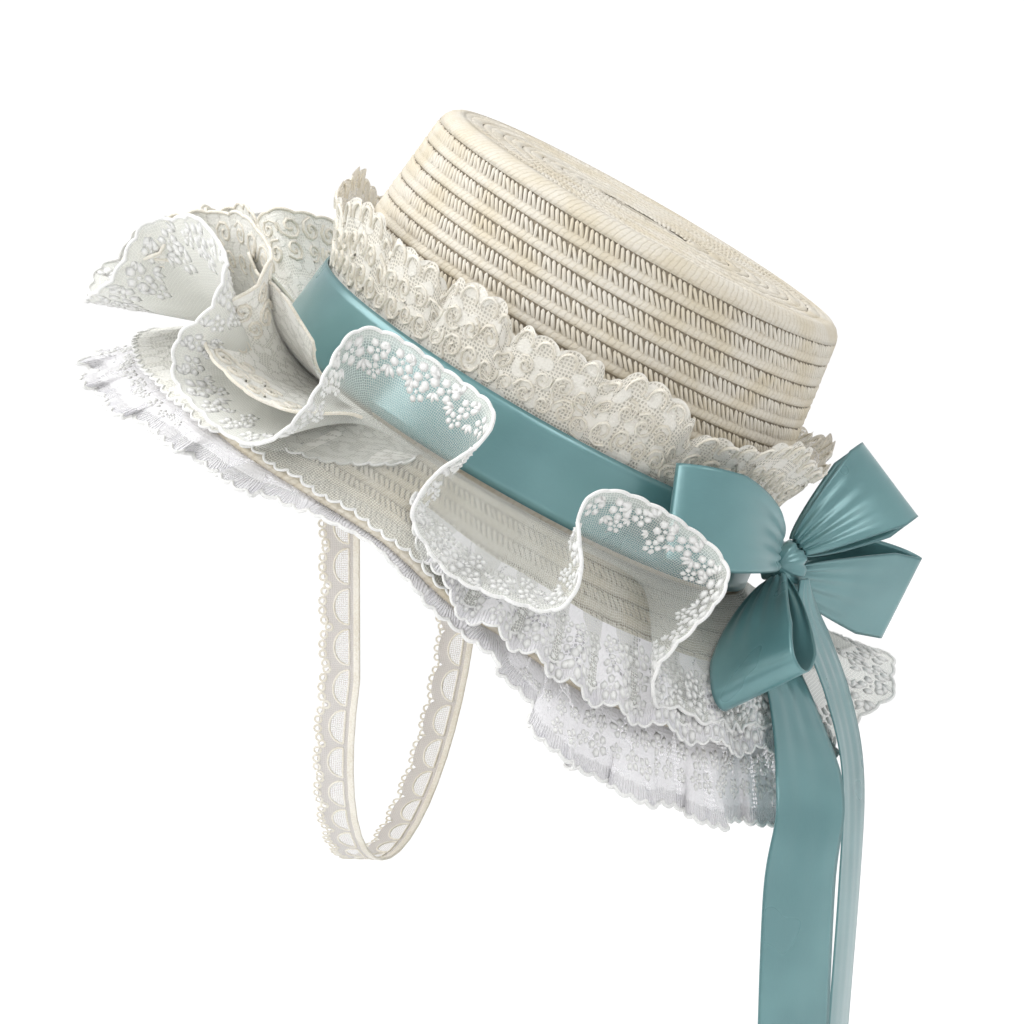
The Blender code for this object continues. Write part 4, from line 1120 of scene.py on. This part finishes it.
# %% The crown frill's cords
random = np.random.default_rng(5)
frill_cloth = carrier("frill_cloth", np.array([frill_line(frill_angles, flare) for flare in frill_flares]))
FRILL_SHOWN = FRILL_HEIGHT - BAND_TOP
count = int(FRILL_LENGTH / 0.0098)
low = [((k + 0.5) * FRILL_LENGTH / count, 0.0058 + random.uniform(-0.0007, 0.0007)) for k in range(count)]
high = [(k * FRILL_LENGTH / count, 0.0150 + random.uniform(-0.001, 0.001)) for k in range(1, count)]
turns = random.uniform(0.0, 6.28, len(low) + len(high))
embroider("crown_frill_scrolls", scroll, low + high, turns, 1.0, frill_cloth, FRILL_LENGTH, FRILL_SHOWN, 0.6,
          21, ivory_thread)
arches = [((k + 0.5) * SCALLOP, FRILL_SHOWN - 0.0050) for k in range(round(FRILL_LENGTH / SCALLOP))]
embroider("crown_frill_arches", arch, arches, 0.0, 0.98, frill_cloth, FRILL_LENGTH, FRILL_SHOWN, 0.1, 22,
          ivory_thread)

# %% [markdown]
# The great ruffle is sheer tulle with a rolled, shallowly scalloped edge and a border of embroidered
# flowers. It leaves the ribbon and stands up or falls over the brim by turns, in folds as wide as a hand.
# Its shape is a rule: at each angle the cloth bends along an arc from a starting slope to an ending
# slope, never lower than the brim.

# %% The ruffle's gathered cloth
RUFFLE_WIDTH, RUFFLE_SWING = 0.056, 0.016
# The folds: angle, width as a share of the ruffle's, slope at the ribbon and at the edge in degrees
FOLDS = ((0, 1.12, 2, 20), (20, 1.34, -18, -16), (44, 1.30, 6, 50), (62, 1.16, -20, -20), (83, 0.94, 0, 108),
         (106, 0.94, -26, -26), (126, 0.94, -8, 92), (147, 1.00, -40, -40), (170, 0.98, -38, -40),
         (190, 1.30, -32, -28), (208, 1.40, -12, 6), (228, 1.30, -26, -28), (250, 0.96, 0, 102),
         (274, 0.96, -24, -22), (297, 1.05, 2, 96), (317, 1.18, -18, -18), (334, 1.16, 8, 40),
         (348, 1.20, -14, -12))


def ruffle_line(angles, share, trim=0.0, raised=0.0, narrowed=1.0, folds=FOLDS):
    """The ruffle round the hat at a share of its width from the ribbon to its edge. trim adds to the width,
    and a second layer is raised by so many degrees and narrowed."""
    width = RUFFLE_WIDTH * around(folds, 1, angles)[0] * narrowed + trim
    start, between, index = around(folds, 2, angles)
    start = np.radians(start + 0.6 * raised)
    end = np.radians(around(folds, 3, angles)[0] + raised)
    bend = end - start
    level = np.abs(bend) < 1e-4
    bend = np.where(level, 1e-4, bend)
    out_by = width / bend * (np.sin(start + bend * share) - np.sin(start))
    up_by = width / bend * (np.cos(start) - np.cos(start + bend * share))
    ends = np.array([row[3] for row in folds] + [folds[0][3]], float)
    change = np.minimum(np.abs(ends[index + 1] - ends[index]) / 90.0, 1.0)
    swing = RUFFLE_SWING * (0.35 + 0.65 * change) * share ** 1.2
    away = outward(angles)
    tangent = np.stack((-away[:, 1], away[:, 0], np.zeros(len(away))), -1)
    turn = np.radians(angles)
    flutter = 0.0011 * share ** 2 * np.sin(turn * 47 + 2.0 * np.sin(turn * 7))
    points = crown_point(angles, 0.0, BAND_INSIDE) + away * (out_by + flutter)[:, None] \
        + tangent * (swing * np.sin(2.0 * np.pi * between))[:, None]
    points[:, 2] = np.maximum(up_by + flutter, brim_height(points) + 0.0021 + 0.0036 * share)
    return points


# Angles spaced evenly along the edge, so that scallops and flowers keep their size round every fold
QUARTERS, EDGE_PLACES = np.arange(1441) / 4.0, 2401
RUFFLE_LENGTH, even_walk, even_angles = spread_evenly(ruffle_line(QUARTERS, 0.92), QUARTERS, EDGE_PLACES)
ruffle_shares = np.linspace(0.0, 1.0, 29)
flat = laid_flat(even_walk, RUFFLE_WIDTH * ruffle_shares)
even_walk, even_angles = even_walk[:-1], even_angles[:-1]
scallops = -0.0015 * (1.0 - scalloped(even_walk, whole_pitch(RUFFLE_LENGTH, 0.0082), 0.8))
ruffle_grid = np.array([ruffle_line(even_angles, share, scallops * share ** 8) for share in ruffle_shares])
ruffle = sheet("brim_ruffle_tulle", ruffle_grid, flat, wrap=True, turned=True)
# How far the cells of the net are closed: at the front, at one fold of the far side, and along the edge
from_front = np.abs(np.mod(even_angles + 180.0, 360.0) - 180.0)
doubled = np.clip((84.0 - from_front) / 22.0, 0.0, 1.0)
doubled = np.maximum(doubled, np.clip(1.5 - np.abs(even_angles - 208.0) / 22.0, 0.0, 0.8))
border = 0.12 * np.clip((ruffle_shares - 0.70) / 0.12, 0.0, 1.0) \
    + 0.5 * np.clip((ruffle_shares - 0.90) / 0.05, 0.0, 1.0)
mark(ruffle, "dense", np.maximum(0.85 * doubled[None, :], border[:, None]))
settle(ruffle, sheer_tulle, ["brim_tulle_ruffle"])
print("ruffle", round(RUFFLE_LENGTH * 1000), "mm round its edge")

# %% The ruffle's rolled edge
cord("brim_ruffle_piping", [ruffle_line(even_angles, 1.0, scallops)], 0.00075, white_thread)

# %% The ruffle's embroidery
ruffle_cloth = carrier("ruffle_cloth", ruffle_grid[4:], turned=True)
RUFFLE_SHOWN = RUFFLE_WIDTH * float(ruffle_shares[-1] - ruffle_shares[4])
count = int(RUFFLE_LENGTH / 0.0105)
pitch = RUFFLE_LENGTH / count
blooms, bloom_sizes, sprays, spray_turns = [], [], [], []
for k in range(count):
    x = (k + 0.5) * pitch
    blooms.append((x + random.uniform(-0.001, 0.001),
                   RUFFLE_SHOWN - 0.0068 + random.uniform(-0.0008, 0.0008)))
    bloom_sizes.append(1.15)
    if k % 2:
        blooms.append((x + random.uniform(-0.0015, 0.0015),
                       RUFFLE_SHOWN - 0.0150 + random.uniform(-0.001, 0.001)))
        bloom_sizes.append(1.0)
    sprays.append((x + pitch * 0.5, RUFFLE_SHOWN - 0.0100 + random.uniform(-0.001, 0.001)))
    spray_turns.append(random.uniform(-2.6, -0.6))
    sprays.append((x + pitch * 0.42, RUFFLE_SHOWN - 0.0042))
    spray_turns.append(random.uniform(2.4, 3.6))
sprays = [(min(max(x, 0.001), RUFFLE_LENGTH - 0.001), y) for x, y in sprays]
embroider("brim_ruffle_flowers", flower, blooms, 0.0, bloom_sizes, ruffle_cloth, RUFFLE_LENGTH, RUFFLE_SHOWN,
          0.8, 31, white_thread)
embroider("brim_ruffle_leaves", leaves, sprays, spray_turns, 0.9, ruffle_cloth, RUFFLE_LENGTH, RUFFLE_SHOWN,
          0.8, 32, white_thread)

# %% [markdown]
# At the front the ruffle is doubled: a second layer of denser lace lies on the first and stands a little
# higher, with looped cords along its edge. It uses the same rule, raised and narrowed, over the front of
# the hat only. Both ends of a layer are drawn in towards the ribbon, so that it has no cut side to show.

# %% The layers at the front
LAYER_END = 0.030


def front_layer(name, first, last, places, rows, wish, swell, depth, dense, **rule):
    """A layer of lace over part of the front, with scallops of a wished pitch and swell. dense is how far its
    cells are closed at the ribbon and at the edge. Returns the piece, its grid and its length."""
    spread = np.linspace(first, last, places)
    length, even, angles = spread_evenly(ruffle_line(spread, 0.9, **rule), spread, places)
    ends = np.clip(np.minimum(even, length - even) / LAYER_END, 0.0, 1.0) ** 0.5
    trims = swell * scalloped(even, whole_pitch(length, wish)) - LAYER_END * (1.0 - ends)
    shares = np.linspace(0.0, 1.0, rows)
    grid = np.array([ruffle_line(angles, share, trims * share ** 3, **rule) for share in shares])
    piece = sheet(name, grid, laid_flat(even, depth * shares), turned=True)
    closed = dense[0] + (dense[1] - dense[0]) * np.clip((shares - 0.55) / 0.2, 0.0, 1.0)
    mark(piece, "dense", np.broadcast_to(closed[:, None], grid.shape[:2]))
    settle(piece, front_lace)
    return piece, grid, length


# %% The second layer
OVER_DEPTH = RUFFLE_WIDTH * 1.2 * 0.86
over_layer, over_grid, OVER_LENGTH = front_layer(
    "brim_ruffle_front_lace", -46.0, 68.0, 721, 25, 0.0105, 0.0013, OVER_DEPTH, (0.55, 0.85), raised=17.0,
    narrowed=0.86)
over_cloth = carrier("over_cloth", over_grid, wrap=False, turned=True)
columns = int(OVER_LENGTH / 0.0105) - 1
spots = [((k + 1) * OVER_LENGTH / (columns + 1) + random.uniform(-0.0008, 0.0008), OVER_DEPTH - depth)
         for k in range(columns) for depth in (0.0068, 0.0165)]
embroider("brim_ruffle_front_scrolls", scroll, spots, random.uniform(0.0, 6.28, len(spots)), 0.95, over_cloth,
          OVER_LENGTH, OVER_DEPTH, 0.6, 35, ivory_thread)
cord("brim_ruffle_front_piping", [over_grid[-1]], 0.0007, ivory_thread, closed=False)

# %% [markdown]
# In front of the ribbon stands a third, shorter layer of close cream lace. It fills the space between the
# other two, which is why the front reads as one thick bunch. It has folds of its own, so it has a table
# of its own.

# %% The standing layer at the front
STANDING = ((-14, 0.70, 8, 30), (6, 0.90, 14, 42), (20, 0.92, 12, 40), (34, 1.02, 26, 66),
            (54, 0.92, 14, 50), (70, 0.70, 4, 34))
standing, stand_grid, STAND_LENGTH = front_layer(
    "brim_ruffle_standing_lace", -14.0, 66.0, 601, 23, 0.0090, 0.0022, RUFFLE_WIDTH, (0.80, 0.80),
    folds=STANDING)
cord("brim_ruffle_standing_piping", [stand_grid[-1]], 0.00065, ivory_thread, closed=False)

# %% [markdown]
# Below the ruffle the brim isn't bare. A wide flat lace covers its front, sheer tulle lies over the straw
# at the wearer's left, and a white lace is bunched along the edge towards the back. All three follow the
# brim in folds that grow towards a scalloped edge, so one rule and a table of sizes make them.

# %% The laces on the brim
# Name, angles from and to, shares of the brim from and to, taper of the ends in degrees, lift, height and
# number of the folds, how far the cells are closed in the middle and at the edge, finish and slot
LYING = (("brim_lying_lace", -86, 84, 0.10, 1.07, 26, 0.0010, 0.0009, 31, 0.30, 0.70, front_lace,
          "white_lace"),
         ("brim_lying_tulle", 52, 190, 0.10, 1.00, 12, 0.0016, 0.0012, 43, 0.10, 0.35, sheer_tulle,
          "ivory_tulle"),
         ("brim_gathered_lace", 90, 188, 0.58, 1.10, 14, 0.0020, 0.0042, 41, 0.30, 0.60, white_lace,
          "white_lace"))
# The flat depth of the white lace's edge. Its finish has a ribbed border that ends there.
LACE_EDGE = 0.0370


def lying_line(angles, share, first, last, near, far, taper, lift, fold, waves):
    """A lace that lies on the brim, at a share of its width, in folds that grow towards its edge."""
    turn = np.radians(angles)
    ripple = fold / 2.0 * (1.0 + np.sin(turn * waves + 2.0 * np.sin(turn * 6))) * min(share * 2.0, 1.0) ** 2
    ends = np.clip(np.minimum(angles - first, last - angles) / taper, 0.0, 1.0) ** 0.6
    points = brim_point(angles, near + (far - near) * share * (0.12 + 0.88 * ends))
    points[:, 2] = brim_height(points) + lift + ripple
    return points


for name, first, last, near, far, taper, lift, fold, waves, middle, edge, finish, slot in LYING:
    rule = (first, last, near, far, taper, lift, fold, waves)
    spread = np.linspace(first, last, 901)
    length, even, angles = spread_evenly(lying_line(spread, 0.95, *rule), spread, 901)
    depth = BRIM_REACH * (far - near) * 1.15
    shares = np.linspace(0.0, 1.0, 23)
    grid = np.array([lying_line(angles, share, *rule) for share in shares])
    run = outward(angles) * np.array((1.0, 1.0, 0.0)) - np.array((0.0, 0.0, 0.75))
    rounds = 0.0018 * scalloped(even, whole_pitch(length, 0.0060))
    grid += run[None] * rounds[None, :, None] * (shares ** 10)[:, None, None]
    laid = sheet(name, grid, laid_flat(even, LACE_EDGE - depth * (1.0 - shares)), turned=True)
    closed = middle + (edge - middle) * np.clip((shares[:, None] - 0.7) / 0.2, 0.0, 1.0)
    mark(laid, "dense", np.broadcast_to(closed, grid.shape[:2]))
    settle(laid, finish)
    cord(name + "_outline", [grid[-1]], 0.00055, white_thread, sides=5, closed=False)
    print(name, round(length * 1000), "mm long")

# %% Flowers on the gathered lace, the last of the three
gathered_cloth = carrier("gathered_cloth", grid, wrap=False, turned=True)
places = [(x + random.uniform(-0.001, 0.001), y + random.uniform(-0.001, 0.001))
          for x in np.arange(0.005, length - 0.005, 0.0084) for y in np.arange(0.008, depth - 0.003, 0.0074)]
embroider("brim_gathered_flowers", flower, places, 0.0, 1.1, gathered_cloth, length, depth, 0.8, 37,
          white_thread)

# %% [markdown]
# White lace is gathered under the brim's edge and hangs past it, deep at the back, short at the front and
# almost hidden at the sides. It ends in small round scallops with a thick outline, over a ground of net
# and flowers.

# %% The edge lace's gathered cloth
EDGE_HANG, EDGE_PLEAT, EDGE_GATHERS, EDGE_FALL = 0.028, 0.0035, 26, math.radians(48.0)
EDGE_SINK, EDGE_SEWN = WALL + CLOTH_GAP + LACE_WALL / 2.0, 0.009


def edge_line(angles, share, over=0.0):
    """The edge lace past the brim's edge at a share of its hang."""
    hang = EDGE_HANG * around(BRIM, 3, angles)[0]
    turn = np.radians(angles)
    gathered = EDGE_PLEAT * np.minimum(hang / 0.010, 1.0)
    pleat = gathered * (np.cos(turn * EDGE_GATHERS) + 0.14 * np.sin(turn * 71 + 1.5 * np.sin(turn * 9)))
    run = hang * share + over
    out_by = run * math.cos(EDGE_FALL) + 1.2 * pleat * share
    away = outward(angles)
    tangent = np.stack((-away[:, 1], away[:, 0], np.zeros(len(away))), -1)
    folded = 1.3 * gathered * np.sin(turn * EDGE_GATHERS * 2.0 + 0.8) * share
    return brim_point(angles, 1.0, EDGE_SINK) + away * out_by[:, None] + tangent * folded[:, None] \
        - np.array((0.0, 0.0, 1.0)) * (run * math.sin(EDGE_FALL))[:, None]


EDGE_LENGTH, lace_walk, even_angles = spread_evenly(edge_line(QUARTERS, 1.0), QUARTERS, EDGE_PLACES)
EDGE_SCALLOP = whole_pitch(EDGE_LENGTH, 0.0066)
even_walk, even_angles = lace_walk[:-1], even_angles[:-1]
hang_here = EDGE_HANG * around(BRIM, 3, even_angles)[0]
rounds = scalloped(even_walk, EDGE_SCALLOP) * 0.0021 * np.minimum(hang_here / 0.004, 1.0)
edge_shares = np.linspace(0.0, 1.0, 13)
seam = [brim_point(even_angles, share, EDGE_SINK) for share in (0.84, 0.92, 0.98)]
edge_grid = np.array(seam + [edge_line(even_angles, share, rounds * share ** 5) for share in edge_shares])
hang_closed = np.append(hang_here, hang_here[0])
depth_rows = [LACE_EDGE - hang_closed - back for back in (EDGE_SEWN, 0.0045, 0.0011)]
depth_rows += [LACE_EDGE - hang_closed * (1.0 - share) for share in edge_shares]
flat = np.stack(np.broadcast_arrays(lace_walk, np.array(depth_rows)), -1)
edge_lace = sheet("brim_edge_lace_net", edge_grid, flat, wrap=True, turned=True)
settle(edge_lace, white_lace, ["brim_edge_lace"])
print("edge lace", round(EDGE_LENGTH * 1000), "mm round, scallops", round(EDGE_SCALLOP * 1000, 1), "mm")

# %% The edge lace's outline and flowers
cord("brim_edge_lace_outline", [edge_line(even_angles, 1.0, rounds)], 0.00080, white_thread)
edge_cloth = carrier("edge_cloth", edge_grid[3:], turned=True)
places, turns, sizes = [], [], []
for x in np.arange(0.006, EDGE_LENGTH - 0.006, 0.0096):
    hang = float(np.interp(x, even_walk, hang_here))
    for depth in np.arange(0.0065, hang - 0.006, 0.0090):
        places.append((x + random.uniform(-0.0012, 0.0012),
                       (depth + random.uniform(-0.001, 0.001)) / hang * EDGE_HANG))
        turns.append(random.uniform(0.0, 6.28))
        sizes.append(random.uniform(0.85, 1.15))
embroider("brim_edge_lace_flowers", flower, places, turns, sizes, edge_cloth, EDGE_LENGTH, EDGE_HANG, 0.5, 41,
          white_thread)

# %% [markdown]
# A narrow lace strap goes under the chin. Its back edge is straight and close, its middle a row of
# half-oval eyes of fine net, and its front edge a row of small rings that swells round each eye. It lies
# inside the crown at both ends and hangs in one long loop between. The eyes are marks on the cloth that
# open its finish, with a cord round each, so the net needs points close enough to draw them.

# %% The strap's path
STRAP_WIDTH, STRAP_ANGLE, STRAP_DEPTH, CHEEK, EYE_PITCH = 0.0150, 60.0, 0.157, 0.078, 0.0150
strap_inset = -WALL - 0.0011 - LACE_WALL / 2.0
seat = HAT_TO_ROW @ crown_point(np.array(STRAP_ANGLE), 0.020, strap_inset)
lip = HAT_TO_ROW @ crown_point(np.array(STRAP_ANGLE), -2.0 * WALL, strap_inset)
path = [seat, lip, np.array((CHEEK, lip[1], lip[2] - 0.5 * CHEEK))]
for step in range(11):
    turn = math.pi / 2.0 * step / 10
    fall = CHEEK * math.sin(turn)
    path.append(np.array((CHEEK * math.cos(turn), lip[1] - 0.15 * fall, -STRAP_DEPTH + CHEEK - fall)))
path += [point * np.array((-1.0, 1.0, 1.0)) for point in reversed(path[:-1])]
path = np.array(path)
path_walk = walked(path)
STRAP_LENGTH = float(path_walk[-1])
eye_count = round(STRAP_LENGTH / EYE_PITCH)
eye_pitch = STRAP_LENGTH / eye_count


def points_at(run, walk, points):
    """Points, known at places of a walk, at other places of it."""
    return np.stack([np.interp(run, walk, points[:, axis]) for axis in range(3)], -1)


strap_run = np.linspace(0.0, STRAP_LENGTH, 18 * eye_count + 1)
centre_line = points_at(strap_run, path_walk, path)
strap_ahead = np.gradient(centre_line, axis=0)
strap_ahead /= np.linalg.norm(strap_ahead, axis=1, keepdims=True)
from_seat = np.minimum(strap_run, STRAP_LENGTH - strap_run)
wall_out = outward(np.array([STRAP_ANGLE]))[0]
left_half = (strap_run < STRAP_LENGTH / 2.0)[:, None]
wall_side = np.where(left_half, HAT_TO_ROW @ np.array((-wall_out[1], wall_out[0], 0.0)),
                     HAT_TO_ROW @ np.array((wall_out[1], wall_out[0], 0.0)))
shift = ((1.0 - np.cos(np.pi * np.clip(from_seat / CHEEK, 0.0, 1.0))) / 2.0)[:, None]
strap_back = wall_side * (1.0 - shift) + np.array((0.0, 1.0, 0.0)) * shift
strap_back -= strap_ahead * np.sum(strap_back * strap_ahead, axis=1, keepdims=True)
strap_back /= np.linalg.norm(strap_back, axis=1, keepdims=True)
print("strap", round(STRAP_LENGTH * 1000), "mm, eyes", eye_count, "of", round(eye_pitch * 1000, 1), "mm")

# %% The strap's net and band, in shares of its width before or behind its middle line
EYE_BACK, EYE_REACH, EYE_SPAN, BAND_EDGE = 0.20, 0.37, 0.88, 0.34


def swelling(run, least):
    """How far the front edge lies before the middle line. It swells in a round beside each eye."""
    return least + 0.19 * np.sqrt(np.clip(1.0 - (2.0 * np.mod(run / eye_pitch, 1.0) - 1.0) ** 2, 0.0, 1.0))


in_eye = np.mod(strap_run / eye_pitch, 1.0)
from_band = (BAND_EDGE + swelling(strap_run, 0.26)) * np.linspace(0.0, 1.0, 25)[:, None]
across = BAND_EDGE - from_band
strap_grid = np.array([centre_line + strap_back * (STRAP_WIDTH * row)[:, None] for row in across])
flat = np.stack(np.broadcast_arrays(strap_run, STRAP_WIDTH * (0.16 + from_band)), -1)
strap_net = sheet("chin_strap_net", strap_grid, flat, tipped=False)
from_eye = ((EYE_BACK - across) / EYE_REACH) ** 2 + ((2.0 * in_eye - 1.0) / EYE_SPAN) ** 2
round_side = np.clip((from_eye - 0.85) / 0.25, 0.0, 1.0)
flat_side = np.clip((across - EYE_BACK) / 0.03, 0.0, 1.0)
mark(strap_net, "dense", np.where(across < EYE_BACK, round_side, np.maximum(flat_side, round_side)))
settle(strap_net, strap_lace, ["chin_strap"])
band_grid = np.array([centre_line + strap_back * STRAP_WIDTH * share
                      for share in (0.50, 0.46, 0.38, BAND_EDGE)])
band_flat = laid_flat(strap_run, STRAP_WIDTH * np.array((0.0, 0.04, 0.12, 0.16)))
strap_band = sheet("chin_strap_band", band_grid, band_flat, tipped=False)
thicken(strap_band, 0.0008)
settle(strap_band, ivory_thread)

# %% The strap's rings
rim_run = np.linspace(0.0, STRAP_LENGTH, 20 * eye_count + 1)
rim_line = points_at(rim_run, strap_run, centre_line) \
    - points_at(rim_run, strap_run, strap_back) * (STRAP_WIDTH * swelling(rim_run, 0.28))[:, None]
rim_out = points_at(rim_run, strap_run, np.cross(strap_ahead, strap_back))
ring_points, ring_faces = [], []
for k in range(8):
    turn = 2.0 * math.pi * k / 8
    for reach, lift in ((0.00185, 0.0), (0.00140, 0.00040), (0.00090, 0.0)):
        ring_points.append((reach * math.cos(turn), reach * math.sin(turn), lift))
for k in range(8):
    here, after = 3 * k, 3 * ((k + 1) % 8)
    ring_faces += [(here, after, after + 1, here + 1), (here + 1, after + 1, after + 2, here + 2)]
ring = pattern("ring", ring_points, ring_faces)
strap_guide = guide_lines("strap_guide", [rim_line], [rim_out], closed=False, tipped=False)
strap_rings = grow("chin_strap_rings", strap_guide, spaced_along_lines, Repeated=ring, Pitch=0.0036,
                   Slant=0.0, Uneven=0.15, Seed=51, Finish=ivory_thread)
settle(strap_rings)

# %% The cords round the strap's eyes
eye_turn = 2.0 * np.pi * np.arange(20) / 20
eye_lines = []
for k in range(eye_count):
    run = (k + 0.5 + 0.5 * EYE_SPAN * np.sin(eye_turn)) * eye_pitch
    reach = EYE_BACK - EYE_REACH * np.maximum(np.cos(eye_turn), -0.06)
    eye_lines.append(points_at(run, strap_run, centre_line)
                     + points_at(run, strap_run, strap_back) * (STRAP_WIDTH * reach)[:, None])
cord("chin_strap_eye_cords", eye_lines, 0.00042, ivory_thread, tipped=False)

# %% [markdown]
# The bonnet is shown alone on a plain pale stage, in soft light from a large panel above and two beside the
# camera, as in a white studio.

# %% Stage and light
floor_finish, floor_tree, floor_shader = finish_named("pale_floor")
floor_shader.inputs["Roughness"].default_value = 0.9
floor_shader.inputs["Specular IOR Level"].default_value = 0.0
grain = out(add(floor_tree, "ShaderNodeTexNoise", {
    "Vector": out(add(floor_tree, "ShaderNodeTexCoord"), "Object"), "Scale": 2.0}))
floor_tree.links.new(blend_colours(floor_tree, grain, (0.90, 0.90, 0.90, 1.0), (0.92, 0.92, 0.92, 1.0)),
                     floor_shader.inputs["Base Color"])
glow = add(floor_tree, "ShaderNodeEmission", {"Color": (1.0, 1.0, 1.0, 1.0), "Strength": 1.15})
seen = add(floor_tree, "ShaderNodeLightPath").outputs["Is Camera Ray"]
lit = add(floor_tree, "ShaderNodeMixShader", {0: maths(floor_tree, "MULTIPLY", seen, 0.75),
                                              1: floor_shader.outputs[0], 2: glow.outputs[0]})
floor_tree.links.new(lit.outputs[0], floor_tree.nodes["Material Output"].inputs["Surface"])
turns = np.linspace(0.0, 2.0 * np.pi, 97)[:-1]
profile = [(0.001, 0.0), (1.0, 0.0), (2.4, 0.0)]
profile += [(2.4 + 0.9 * math.sin(a), 0.9 - 0.9 * math.cos(a)) for a in np.linspace(0.15, math.pi / 2.0, 10)]
profile += [(3.3, 3.0)]
bowl = np.array([[(r * math.sin(t), -r * math.cos(t), z - 0.30) for t in turns] for r, z in profile])
floor_flat = laid_flat(np.linspace(0.0, 1.0, 97), np.linspace(0.0, 1.0, len(profile)))
floor = sheet("floor", bowl, floor_flat, wrap=True, tipped=False)
floor.data.materials.append(floor_finish)
floor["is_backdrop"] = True


def panel(name, place, aim, size, power):
    """A soft square light panel."""
    lamp = bpy.data.objects.new(name, bpy.data.lights.new(name, "AREA"))
    bpy.context.scene.collection.objects.link(lamp)
    lamp.data.size, lamp.data.energy = size, power
    lamp.location = place
    lamp.rotation_euler = (Vector(aim) - Vector(place)).to_track_quat("-Z", "Y").to_euler()
    return lamp


panel("top_panel", (0.3, -0.8, 1.6), (0.0, 0.0, 0.0), 1.4, 20.0)
panel("front_panel", (1.3, -1.4, 0.9), (0.0, 0.0, 0.0), 1.0, 14.0)
panel("back_panel", (0.7, 1.2, 1.5), (0.0, 0.05, 0.0), 0.9, 8.0)
world = bpy.data.worlds.new("studio")
world.use_nodes = True
world.node_tree.nodes["Background"].inputs["Color"].default_value = (1.0, 1.0, 1.0, 1.0)
world.node_tree.nodes["Background"].inputs["Strength"].default_value = 0.62
bpy.context.scene.world = world
bpy.context.scene.view_settings.view_transform = "Standard"

# %% [markdown]
# The shapes that the trees repeated have done their work and go. The size of the dressed bonnet is set
# beside the size of the solids, because cloth may stand proud of them only a little.

# %% Sizes
for shape in patterns:
    bpy.data.objects.remove(shape)
dressed_box = [[float(value) for value in corner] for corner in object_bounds()]
for label, low, high, low_cad, high_cad in zip("xyz", *dressed_box, *cad_box):
    print(label, "dressed", round(low * 1000), round(high * 1000), "solids", round(low_cad * 1000),
          round(high_cad * 1000), "mm")
